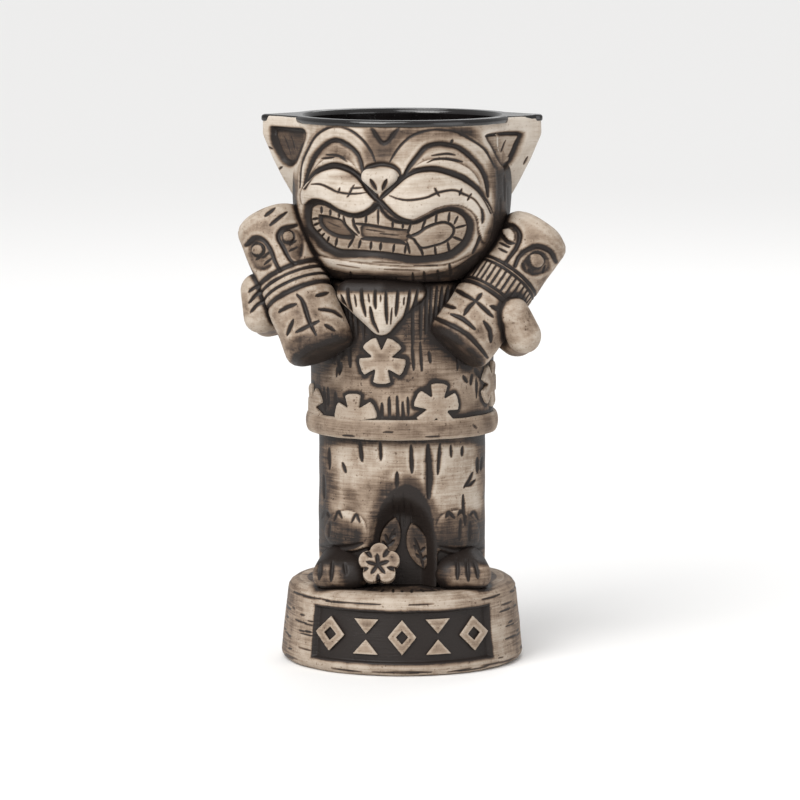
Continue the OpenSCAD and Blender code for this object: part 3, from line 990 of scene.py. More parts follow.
def set_down(clay: Clay, finish: Bisque | BlackGlaze) -> bpy.types.Object:
    """Makes a finished piece of worked clay, in metres, and puts it in the frame.

    Args:
        clay: The worked clay, named after the node it stands for.
        finish: Its finish.

    Returns:
        The piece.
    """
    clay.put_back()
    mesh = clay.mesh
    for name, values in (("wash", clay.wash), ("rub_and_highlight", clay.rub_and_highlight)):
        mesh.attributes.new(name, "FLOAT", "POINT").data.foreach_set("value", values.astype(np.float32))
    mesh.transform(Matrix.Scale(MM, 4))
    mesh.shade_smooth()
    mesh.materials.append(finish.material())
    piece = bpy.data.objects.new(clay.name + "_piece", mesh)
    bpy.context.scene.collection.objects.link(piece)
    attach(piece, "root")
    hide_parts(clay.name)
    low, high = clay.co.min(0), clay.co.max(0)
    log.info("%s: %d faces, %s to %s mm", piece.name, len(mesh.polygons), low.round(1), high.round(1))
    return piece


# ---- The cast shells' forms ---------------------------------------------------


@dataclass
class Body:
    """Outer forms of the cast shells, shared by whatever sits on them."""

    neck_w: float = 54.0
    neck_d: float = 48.0
    head_w: float = 76.0
    head_d: float = 74.0
    muzzle: float = 7.0
    shirt_w: float = 63.6
    shirt_d: float = 58.0
    shoulder: float = 16.0
    leg_w: float = 58.0
    leg_d: float = 52.0
    arch_w: float = 25.0
    arch_h: float = 33.0
    arch_deep: float = 7.0
    leg_z: float = field(init=False)
    hem_z: float = field(init=False)
    neck_z: float = field(init=False)
    clay_top: float = field(init=False)

    def __post_init__(self) -> None:
        """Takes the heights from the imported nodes."""
        self.leg_z = span("leg_shell")[0][2]
        self.hem_z = span("shirt_shell")[0][2]
        self.neck_z = span("head_shell")[0][2]
        self.clay_top = span("head_shell")[1][2]

    def head(self, z: np.ndarray) -> tuple[np.ndarray, np.ndarray, np.ndarray]:
        """Half width, front and back radius of the head at a height.

        Args:
            z: Heights.

        Returns:
            The three radii.
        """
        height = self.clay_top + GLAZE - self.neck_z
        t = quarter((z - self.neck_z) / (height * 0.55))
        jut = self.muzzle * bell(z - self.neck_z - height * 0.36, height / 2)
        back = mix(self.neck_d, self.head_d, t) / 2
        return mix(self.neck_w, self.head_w, t) / 2, back + jut * t, back

    def shirt(self, z: np.ndarray) -> tuple[np.ndarray, np.ndarray, np.ndarray]:
        """Half width, front and back radius of the shirt at a height.

        Args:
            z: Heights.

        Returns:
            The three radii.
        """
        t = quarter((self.neck_z - z) / self.shoulder)
        deep = mix(self.neck_d, self.shirt_d, t) / 2
        return mix(self.neck_w, self.shirt_w, t) / 2, deep, deep

    def leg(self, x: np.ndarray, y: np.ndarray, z: np.ndarray) -> np.ndarray:
        """How far the arched hollow sets the trousers' front back.

        Args:
            x: Places across.
            y: Places in depth.
            z: Heights.

        Returns:
            The depth of the hollow.
        """
        tall = np.maximum(0, (z - self.leg_z) / self.arch_h - 0.45) / 0.55
        d = np.hypot(2 * x / self.arch_w, tall)
        return np.where(y < 0, self.arch_deep * ease(1.9 * (1 - d)), 0)

    @staticmethod
    def ring(
        bearing: np.ndarray, rx: np.ndarray, rf: np.ndarray, rb: np.ndarray
    ) -> tuple[np.ndarray, np.ndarray]:
        """Places points on an egg-shaped ring by their bearing from the front."""
        c = np.cos(bearing)
        return rx * np.sin(bearing), -np.where(c > 0, rf, rb) * c


BODY = Body()


@dataclass
class CatHead:
    """The head with its carved face, both ears, the nose and the beard."""

    body: Body
    steps: int = 430
    rows: int = 196
    crowd: float = 0.42

    def shell(self) -> Clay:
        """Turns the head shell and presses it to its form.

        Returns:
            The clay.
        """
        b = self.body
        turned = Turning(
            "head_shell", [(0, b.neck_z, 0), (0, b.clay_top, 0), (WALL, b.clay_top, 0), (WALL, b.neck_z, 0)],
            [self.rows, 2, 12], self.steps, crowd=self.crowd
        )
        clay, bearing, inset, z, _, _ = turned.spin()
        rx, rf, rb = b.head(np.maximum(b.neck_z, z - inset))
        x, y = b.ring(bearing, rx - inset, rf - inset, rb - inset)
        clay.co = np.stack([x, y, z], 1)
        right_way_out(clay)
        clay.skin = (inset < ON_SKIN).astype(float)
        self.face(clay)
        outer = inset < ON_SKIN
        self.back(clay, bearing, outer)
        clay.uneven(9, 0.22, 3.1, outer * ease((b.clay_top - 1 - z) / 2))
        clay.settle_stain_shade_and_highlight()
        return clay

    def face(self, clay: Clay) -> None:
        """Models and carves the face.

        Args:
            clay: The clay to be worked.
        """
        c = SHEET.lay(clay)
        self.masses(c)
        c.press()
        c = SHEET.lay(clay)
        self.mouth(c)
        self.lines(c)
        self.ear_marks(c, -1)
        self.ear_marks(c, 1)
        c.press()
        self.patina(SHEET.lay(clay))

    def masses(self, c: Carver) -> None:
        """The big forms: mask, cheeks, eye sockets, brow and mouth opening.

        Args:
            c: The carver laid on the clay.
        """
        mask = [
            (-34.8, 169), (-35.4, 160), (-34.6, 149), (-30.6, 141.5), (-25, 136.5), (-17, 133.2), (-6, 132.3),
            (4, 132.6), (12, 133.6), (18, 136.4), (23, 140.4), (27, 146), (29.6, 153), (31, 160), (31.6, 168),
            (31, 175), (28.4, 180), (24, 184), (18, 186.8), (8, 189.6), (-14, 189.6), (-23, 188.6),
            (-28, 186.4), (-31.4, 182), (-34, 175.3)
        ]
        c.region(mask, 0.6, 1.6)
        left_pad = [
            (-33.4, 165.5), (-31.6, 169), (-27.1, 173.2), (-22.7, 174.2), (-18.4, 173.2), (-14.4, 170.4),
            (-11.8, 166.6), (-8.9, 163.4), (-11, 160.2), (-14, 158.6), (-17.6, 158.4), (-21.6, 160),
            (-25.6, 162.3), (-29.6, 163.2), (-32.6, 161.6)
        ]
        right_pad = [
            (-6.6, 163.2), (-3.6, 166.6), (0.6, 170.4), (4.6, 172.5), (9, 173), (13, 172.5), (18, 171),
            (22.6, 168.4), (26.4, 165), (29, 161), (30.4, 156), (29, 150), (27, 149), (25.4, 153),
            (24.6, 157.6), (21, 160.8), (16.3, 161.6), (11.6, 160.6), (7.8, 158.6), (3.6, 156.8), (-0.8, 157.2),
            (-3.6, 159)
        ]
        c.cushion(left_pad, 1.7, 5.2)
        c.cushion(right_pad, 1.7, 5.6)
        left_lid = [
            (-32.4, 168.6), (-30.4, 175), (-26.8, 180.2), (-22.8, 182.2), (-19, 181), (-15.6, 178),
            (-13.4, 173.6), (-12, 168.6), (-15, 171.6), (-18.4, 174), (-22.7, 175.3), (-27.1, 174.2),
            (-30.4, 172.2)
        ]
        right_lid = [
            (-1, 170.6), (3, 175.2), (7.6, 179.8), (11.9, 181.2), (16, 180.8), (20, 179), (24.6, 174.8),
            (27.4, 169.6), (28.4, 164.6), (26, 167), (20.5, 171.2), (15, 173.4), (8.1, 174.2), (3.8, 173.4)
        ]
        c.region(left_lid, -0.5, 1.6)
        c.region(right_lid, -0.5, 1.6)
        c.cushion([
            (-30, 173), (-26, 177), (-21, 178), (-17, 176), (-14.6, 172), (-19, 174.6), (-24, 175.6)
        ], 0.5, 2)
        c.cushion([(4, 174), (9, 177), (16, 177), (23, 173.6), (26, 168), (20, 172), (12, 174.4)], 0.5, 2)
        chin = [
            (-30, 145), (-26, 141), (-16, 138.6), (-4, 138), (8, 138.4), (17, 140.6), (24, 145.6), (16, 142),
            (4, 141), (-10, 142), (-22, 143.6)
        ]
        c.cushion(chin, 0.7, 2.4)

    MOUTH = [
        (-32.7, 157.1), (-32.2, 161), (-29.7, 162.7), (-25.8, 161.9), (-21.5, 159.3), (-17.2, 158),
        (-13.7, 158.4), (-10.3, 160.2), (-8.2, 161.9), (-6.4, 159.3), (-3.4, 156.7), (0, 155.6), (4.3, 155.6),
        (8.6, 157.5), (12.1, 159.3), (16.3, 160.4), (19.8, 159.7), (22.8, 157.1), (23.7, 153.2), (22.4, 149.3),
        (19.8, 146.3), (16.3, 144.1), (10.8, 142.8), (4.3, 142.4), (-2.1, 143.3), (-8.6, 144.1), (-15, 144.6),
        (-21.5, 145), (-25.8, 147.2), (-29.2, 150.6), (-31.8, 153.6)
    ]

    def mouth(self, c: Carver) -> None:
        """The grin: an opening with two rows of teeth and a tongue between them.

        Args:
            c: The carver laid on the clay.
        """
        c.region(self.MOUTH, -1.35, 0.9, 0.16)
        left_pocket = [
            (-28.9, 157.7), (-25.6, 157.3), (-21.8, 156.2), (-20.3, 154.3), (-18.1, 151.6), (-17, 150.1),
            (-18.8, 149.7), (-23.3, 150.5), (-27.1, 152.8), (-28.9, 155.4)
        ]
        c.region(left_pocket, -0.75, 0.7, 0.3)
        c.groove(left_pocket + left_pocket[:1], 0.9, 0.5, 0.95, 0)
        tongue = [
            (-14.3, 154.2), (-9.1, 153.6), (-3.1, 152.6), (2.4, 151.8), (2, 148.4), (-0.1, 148.2),
            (-5.4, 148.9), (-10.2, 149.3), (-14.2, 150)
        ]
        c.region(tongue, -0.7, 0.8, 0.14)
        c.strokes([[(-17, 155), (-13.6, 154.6), (-9.1, 153.9), (-3.1, 152.8), (2.7, 152.4)]], 1.1, 0.6, 1.0)
        c.strokes([[(-14.3, 149.4), (-10.2, 149), (-5.4, 148.6), (-0.1, 147.9), (1.8, 147.1)]], 1.2, 0.6, 1.0)
        right_oval = [
            (2.1, 149.9), (5.9, 151.6), (8.5, 153.5), (12.2, 155), (15.2, 155.4), (17.5, 154.3), (18.2, 152.4),
            (17.1, 150.1), (14.5, 148.2), (11.1, 147.1), (7, 146.3), (5.1, 147.9), (4, 149.4)
        ]
        c.cushion(right_oval, 0.5, 1.6)
        c.groove(right_oval + right_oval[:1], 0.85, 0.6, 1.0, 0)
        c.groove([(-20.7, 157.7), (-20, 154.6), (-17.7, 152), (-15.8, 150.7)], 0.9, 0.6)
        c.groove([(-17.3, 157.3), (-17, 154.6), (-15.8, 152.4), (-15.1, 151.3)], 0.9, 0.6)
        teeth = [
            [(-28.3, 161), (-28.3, 158.6)], [(-25.2, 160), (-25.2, 157.8)], [(-22.2, 159), (-22.2, 157)],
            [(-12.6, 158), (-12.8, 155)], [(-8.4, 161), (-8.4, 154.6)], [(-3.3, 155.8), (-3.3, 153.5)],
            [(0.3, 155), (0.3, 153.2)], [(-31.6, 156.5), (-29.3, 156.9)], [(-31.2, 154.3), (-29.1, 155.2)],
            [(-30, 151.8), (-28.2, 153.1)], [(-28.7, 149.9), (-27.1, 151.6)], [(-26.3, 148.2), (-25.6, 150.3)],
            [(-23.3, 146.8), (-22.8, 149.8)], [(-18.8, 146.4), (-17, 149.6)], [(-15.1, 146.2), (-14.5, 149)],
            [(-11, 145.6), (-10.8, 148.4)], [(-7.6, 145.2), (-7.4, 148)], [(-3.1, 144.6), (-2.7, 147.4)],
            [(1, 144.2), (1.4, 147)], [(3.3, 155.6), (2.1, 151.3)], [(8.5, 157), (7, 152.8)],
            [(12.2, 158.6), (11.9, 155)], [(16.7, 159.2), (16.4, 155.4)], [(18.6, 153.3), (22.6, 154.4)],
            [(17.9, 150.1), (21.2, 148.8)], [(16, 148.2), (16.6, 144.8)], [(11.5, 146.6), (11.9, 143.3)],
            [(6.6, 146.2), (7.4, 143.2)], [(4.4, 149.4), (7, 144.5)], [(1.8, 148.2), (2.7, 144.2)],
            [(19.6, 157.6), (18.4, 154.8)]
        ]
        c.strokes(teeth, 0.75, 0.55, 0.95)
        c.groove(self.MOUTH + self.MOUTH[:1], 1.5, 0.7, 1.0, 0)
        c.groove([
            (-32.4, 158), (-32, 153.8), (-29.4, 150.2), (-25.8, 146.9), (-21.5, 144.6), (-15, 144.1)
        ], 1.9, 0.7, 1.0)
        c.strokes([
            [(-13, 152.6), (-6, 151.4)], [(-8, 151), (-1, 150.2)], [(-26.6, 155.4), (-22, 153.4)]
        ], 0.5, 0.2, 0.5)

    def lines(self, c: Carver) -> None:
        """Brows, closed eyes, whisker lines, nose and forehead marks.

        Args:
            c: The carver laid on the clay.
        """
        c.groove([
            (-34.6, 167.5), (-33.9, 175.3), (-30.8, 182.5), (-27.7, 186.3), (-23.4, 188.3), (-18.4, 187.5),
            (-13.7, 184.1), (-10.6, 180), (-9, 176.2)
        ], 0.8, 0.5, 0.95)
        c.groove([
            (-33.3, 167.4), (-32.1, 172.1), (-29.6, 177.8), (-26.5, 181.6), (-22.7, 183.5), (-19, 182.2),
            (-15.9, 179.7), (-14.3, 176.9), (-13.4, 173.7), (-12.8, 170)
        ], 1.6, 1.0, 1.0)
        c.groove([
            (-33, 167.5), (-32.1, 169.3), (-30.2, 172.1), (-27.1, 174), (-22.7, 175), (-18.4, 174),
            (-15.2, 172.1), (-13.1, 169.6), (-12.1, 167.8), (-9.9, 165.2), (-8, 163.3), (-5.4, 160.7),
            (-2.4, 158), (0.4, 156.4), (3.4, 155.8)
        ], 1.6, 1.0, 1.0, 0.35)
        c.groove([
            (-32.3, 161.1), (-29.7, 162.6), (-27.1, 162.4), (-23.7, 160.5), (-20.3, 158.8), (-16.6, 157.9),
            (-13.6, 158.4), (-11, 159.9), (-9.1, 161.8), (-8, 162.9)
        ], 1.4, 0.7, 1.0)
        c.groove([
            (-8, 163.3), (-5.7, 165.2), (-2.7, 168.2), (0.6, 171.2), (4, 173.1), (8.1, 173.9), (12.2, 173.7),
            (16.7, 172.4), (20.5, 170.9), (23.8, 168.6), (26.5, 166), (28.7, 162.6), (30.2, 159)
        ], 1.5, 0.9, 1.0)
        c.groove([
            (-4.2, 176.1), (-2.4, 179.2), (-0.1, 182.2), (2.9, 184.8), (6.3, 186.3), (10.4, 187.3),
            (14.5, 187.1), (18.2, 186.5), (22.4, 184.4), (26.5, 181.8), (28.7, 179.5), (31.3, 174.6)
        ], 0.8, 0.45, 0.9)
        c.groove([
            (0.2, 170.4), (2.5, 174.6), (5.1, 178), (8.1, 181.1), (11.9, 182.2), (15.2, 182), (19, 181.1),
            (22.7, 178.4), (25.7, 175.4), (27.6, 172.4), (28.7, 168.6), (29.1, 164.6)
        ], 1.7, 1.0, 1.0)
        c.groove([(16.6, 182.2), (17, 183.8)], 0.9, 0.5, 1.0)
        c.strokes([
            [(-25.5, 178.7), (-21.5, 178.4), (-18.6, 176.4)], [(-27, 177.4), (-23, 177.8)]
        ], 0.6, 0.3, 0.75)
        c.strokes([
            [(8.5, 176), (11.1, 177.1), (15.2, 177.3), (20.5, 176.3)], [(10, 178.4), (15, 179), (18, 178.6)]
        ], 0.6, 0.3, 0.75)
        whisker = 0.65, 0.38, 0.85
        c.strokes([
            [
                (-30.8, 168.7), (-27.7, 168.7), (-24.6, 167.4), (-22.1, 166.2), (-18.4, 165.5), (-15.2, 165.5),
                (-12.1, 165.9)
            ], [(-20.9, 167.4), (-21.6, 165.6)], [(-16.2, 168.4), (-18.4, 164.3)],
            [(-17.4, 167.2), (-13, 167.6)],
            [
                (-4.2, 164.8), (-1.2, 163.7), (2.5, 163.3), (8.1, 164.1), (12.2, 165.8), (17.5, 166.7),
                (21.2, 165.2), (24.2, 163.7), (26.1, 161.4), (27.6, 158.6)
            ], [(20.2, 167.2), (19.4, 165)], [(23.4, 165.4), (22.2, 163.2)], [(11, 167.4), (12.6, 164.6)]
        ], *whisker)
        c.groove([(-10.9, 189), (-6.2, 182.6), (-0.7, 188.4)], 1.2, 0.7, 1.0, 0.3)
        c.groove([
            (-13.6, 172.4), (-12.2, 174.2), (-10.2, 175), (-7.2, 175.6), (-3.9, 175.1), (-1.4, 173.6),
            (-0.3, 171.4)
        ], 1.5, 0.8, 1.0)
        c.groove([(-13.6, 172.6), (-11.8, 169.2), (-9.4, 166.2), (-8, 163.6)], 1.2, 0.8, 1.0)
        c.groove([(-0.4, 171.4), (-3.4, 168.2), (-6, 165.4), (-7.8, 163.6)], 1.2, 0.8, 1.0)
        c.strokes([
            [(26.8, 160.6), (27.4, 158.2), (27.2, 155.4)], [(26.4, 151.2), (25.4, 148.2), (23.8, 145.2)],
            [(-33, 150.6), (-30.6, 147)]
        ], 0.9, 0.45, 0.85)
        hairs = [
            [(-24.6, 138.4), (-24, 135)], [(-20.6, 137), (-20.2, 133.8)], [(-14, 136), (-13.8, 134)],
            [(-9, 137.4), (-9.2, 134.6)], [(-2, 137), (-1.8, 133.8)], [(3.6, 138.6), (3.8, 134.4)],
            [(7.4, 139), (7.8, 134.6)], [(12, 139.4), (12.6, 135.4)], [(16, 141.6), (16.6, 137.6)],
            [(-17.4, 139), (-17, 136.4)]
        ]
        c.strokes(hairs, 0.7, 0.4, 0.85)
        c.strokes([
            [(-22, 141.4), (-14, 140.2)], [(-10, 142.3), (0, 141.8)], [(4, 141), (12, 141.2)],
            [(-6, 139.8), (6, 139.4)]
        ], 0.5, 0.15, 0.35)

    def patina(self, c: Carver) -> None:
        """Soft stain on the forehead, stain and painted shade below the chin, painted shade down both sides
        of the head, and smaller darker patches round the left eye and on the right temple.

        Args:
            c: The carver laid on the clay.
        """
        c.tint([
            (-13, 176), (-12, 184), (-10, 195), (24, 195), (22, 186), (12, 188.2), (4, 186), (-1, 182),
            (-4, 176)
        ], 0.42, 2.6)
        c.tint([(2, 184), (8, 190), (20, 190), (27, 184), (20, 184.4), (12, 184)], 0.3, 2)
        # Brown stain on the chin, deepening into painted shade where it turns under towards the beard.
        c.tint([
            (-30, 140.4), (-18, 139), (-6, 139), (8, 138.8), (18, 141), (26, 146), (28, 135), (8, 126),
            (-18, 126), (-32, 134)
        ], 0.58, 2.0)
        # Painted shade down the left side of the head, beside the beaker.
        c.tint([
            (-50, 180), (-36.6, 172), (-36.2, 160), (-35.6, 150), (-31.4, 141), (-24, 135.6), (-14, 131.4),
            (-14, 118), (-50, 118)
        ], 0.74, 1.7)
        # Painted shade down the right side of the head, beside the beaker.
        c.tint([
            (50, 176), (35, 175), (31.5, 168), (31, 160), (29, 153), (26.4, 147), (22.4, 141.4), (16.4, 136.4),
            (10, 132.6), (10, 118), (50, 118)
        ], 0.64, 1.5)
        sides = [
            [(u, top), (u + 0.3, top - long)]
            for u, top, long in (
                (34.4, 172, 9), (35.6, 168, 12), (33, 164, 8), (34.8, 158, 9), (33.2, 152, 7), (31, 149, 6),
                (36.4, 160, 10), (-36.6, 170, 8), (-36.2, 158, 9)
            )
        ]
        c.strokes(sides, 0.7, 0.4, 0.6)
        c.press()
        c.tint([(31, 180), (33, 176), (37, 172), (37, 160), (32.4, 162), (29, 171)], 0.35, 1.8)
        c.tint([(-24, 171.5), (-14, 172), (-11, 168), (-16, 169.4), (-22, 170.6)], 0.22, 1.2)
        c.tint([(-31, 178), (-24, 181.4), (-17, 178), (-20, 176.6), (-26, 177.6)], 0.25, 1.4)

    def back(self, clay: Clay, bearing: np.ndarray, outer: np.ndarray) -> None:
        """Fur strokes on the back and sides, where the face's drawing doesn't reach.

        Args:
            clay: The clay to be worked.
            bearing: Bearings from the front, in radians.
            outer: Which points lie on the outside.
        """
        z = clay.co[:, 2]
        share = np.where(outer, ease((np.abs(bearing) - 1.7) / 0.35), 0)
        c = Carver(clay, np.where(bearing < 0, bearing + 2 * np.pi, bearing) * 37, z, share)
        rng = np.random.default_rng(11)
        for row, height in enumerate((186, 180, 173.5, 166, 158, 150, 143)):
            for k in range(13):
                u = 62 + 9.2 * k + (4.6 if row % 2 else 0) + rng.uniform(-0.8, 0.8)
                long = rng.uniform(3.2, 5.2)
                lean = (u - 116) * 0.02
                c.groove([
                    (u, height), (u + lean * 0.5 + 0.3, height - long / 2), (u + lean, height - long)
                ], 0.95, 0.42, 0.85)
        c.press()

    @staticmethod
    def ear_marks(c: Carver, side: int) -> None:
        """Hollows the front of one ear, which runs on to the side of the head.

        Args:
            c: The carver laid on the clay.
            side: -1 for the left one, 1 for the right.
        """
        if side < 0:
            hollow = [
                (-43.9, 187.8), (-38, 187.3), (-33.4, 186.6), (-34, 182), (-36.8, 175.6), (-39.9, 176.2),
                (-42.2, 180), (-43.7, 184)
            ]
            c.region(hollow, -1.7, 1.5, 0.34)
            c.groove(hollow + hollow[:1], 1.2, 0.5, 0.95, 0)
            c.strokes([[(-45.4, 181.4), (-43.6, 180.6)], [(-41.6, 173.6), (-40.4, 174.6)]], 0.6, 0.3, 0.7)
            c.strokes([[(-41, 185), (-38.6, 178)], [(-38.6, 185), (-37.4, 180)]], 0.6, 0.2, 0.5)
        else:
            hollow = [
                (41.6, 186.2), (36.8, 186.2), (29, 185.4), (30.6, 181), (34.6, 174.6), (37.8, 176.6),
                (40.4, 181)
            ]
            c.region(hollow, -1.4, 1.8, 0.14)
            c.groove([
                (28.4, 185), (33, 185.7), (37.2, 185.9), (40.6, 185.3), (39.4, 181.6), (37.2, 177),
                (34.6, 173.6)
            ], 1.3, 0.7, 0.95)
            c.strokes([[(36, 183.6), (34.6, 179.6)], [(42.4, 178), (41, 175.4)]], 0.6, 0.3, 0.6)

    def ear(self, side: int) -> Clay:
        """Models one ear with its hollowed front.

        Args:
            side: -1 for the left ear, 1 for the right.

        Returns:
            The clay.
        """
        top = self.body.clay_top
        x = self.body.head_w / 2
        edge = [(8, 0.4), (8, 6), (4.74, 14), (0.86, 21.6), (-2.2, 27)]
        balls = [(side * (x + out), 0, top - down - (2.2 if down < 1 else 0), 2.2) for out, down in edge]
        roots = [(side * (x - 6.5), dy, top - down, 3.0) for dy in (-13.5, 13.5) for down in (3.0, 9.0)]
        roots += [(side * (x - 5.5), dy, top - 18, 3.0) for dy in (-8.5, 8.5)]
        clay = Lump("left_ear" if side < 0 else "right_ear", [balls + roots], 0.33, 3).model()
        # What would stand in the mouth of the mug is pushed out into the head's wall.
        rx, rf, rb = self.body.head(clay.co[:, 2])
        deep = np.where(clay.co[:, 1] < 0, rf, rb)
        share = np.hypot(clay.co[:, 0] / (rx - WALL / 2), clay.co[:, 1] / (deep - WALL / 2))
        clay.co[:, :2] *= (np.maximum(share, mix(0.97, 1.0, (share - 0.7) / 0.3)) / share)[:, None]
        flat = clay.co[:, 2] > top - 2.6
        clay.co[flat, 2] = mix(clay.co[flat, 2], top, ease((clay.co[flat, 2] - top + 2.6) / 1.4))
        clay.co[:, 2] = np.minimum(clay.co[:, 2], top)
        c = SHEET.lay(clay)
        self.ear_marks(c, side)
        c.press()
        clay.uneven(7, 0.15, 4.0 + side)
        clay.settle_stain_shade_and_highlight()
        c = SHEET.lay(clay)
        c.tint([(-43.6, 187), (-33, 186), (-36, 176), (-40, 177)], 0.28, 1)
        return clay

    def nose(self) -> Clay:
        """Models the small nose with its two nostrils.

        Returns:
            The clay.
        """
        low, high = span("nose")
        x, z = (low[0] + high[0]) / 2, high[2] - 4.2
        front = -low[1] - 2.2
        balls = [
            (x - 3.6, -front, z + 1.6, 2.6), (x + 3.6, -front, z + 1.6, 2.6), (x, -front - 0.1, z - 3, 1.6)
        ]
        clay = Lump("nose", [balls], 0.22, 4).model()
        c = SHEET.lay(clay)
        c.strokes([
            [(-10.6, 170.2), (-9.6, 168.4), (-8.7, 166.8)], [(-5.2, 170.2), (-5.9, 168.4), (-6.5, 166.8)]
        ], 1.1, 0.7, 1.0)
        c.press()
        clay.settle_stain_shade_and_highlight(1.6)
        return clay

    def beard(self) -> Clay:
        """Models the beard with its combed tufts.

        Returns:
            The clay.
        """
        x, w = -6.84, 31.0 / 2 - 4.5
        deep = self.body.neck_d / 2
        z = self.body.neck_z
        balls = [
            (x - w, -deep - 1, z - 3.5, 4.5), (x + w, -deep - 1, z - 3.5, 4.5), (x, -deep - 4, z - 3.6, 5.2),
            (x, -self.body.shirt_d / 2 + 1, z - 18 + 4.5, 4.5)
        ]
        clay = Lump("beard", [balls], 0.36, 4).model()
        c = SHEET.lay(clay)
        tufts = [
            [(-18.4, 133.4), (-18, 129), (-16.9, 124.6)], [(-13.8, 133), (-13.4, 128.6), (-12.3, 123.8)],
            [(-9.1, 132.6), (-9.2, 129), (-8.9, 126.4)], [(-5.4, 132.6), (-5.3, 127.6), (-5, 121.4)],
            [(-1.3, 132.6), (-1.6, 128), (-2, 124)], [(2.7, 132.8), (2.2, 128), (0.6, 121.6)],
            [(5.4, 133), (4.4, 128), (2.6, 123)], [(-20.6, 131), (-18.4, 125.4), (-15, 120.6)],
            [(-10.8, 127), (-9.8, 122), (-8, 118.4)]
        ]
        c.strokes(tufts, 1.0, 0.8, 0.95)
        c.strokes([
            [(-16, 131), (-15.4, 127)], [(-11.4, 131.6), (-11, 128.4)], [(-7.2, 131), (-7.2, 128.8)],
            [(0.8, 130.4), (0.6, 127.6)], [(-3.4, 126.6), (-3.8, 121)]
        ], 0.5, 0.3, 0.6)
        c.press()
        # Painted shade on the beard's top, under the chin.
        c.tint([(-26, 140), (12, 140), (12, 132.6), (4, 132), (-7, 131.8), (-16, 132), (-26, 132.8)], 0.8, 1.4)
        c.tint([(-26, 128), (-20, 122), (-14, 118), (-22, 114), (-30, 124)], 0.4, 1.6)
        c.tint([(12, 128), (6, 122), (0, 117), (8, 112), (18, 124)], 0.4, 1.6)
        clay.settle_stain_shade_and_highlight()
        return clay


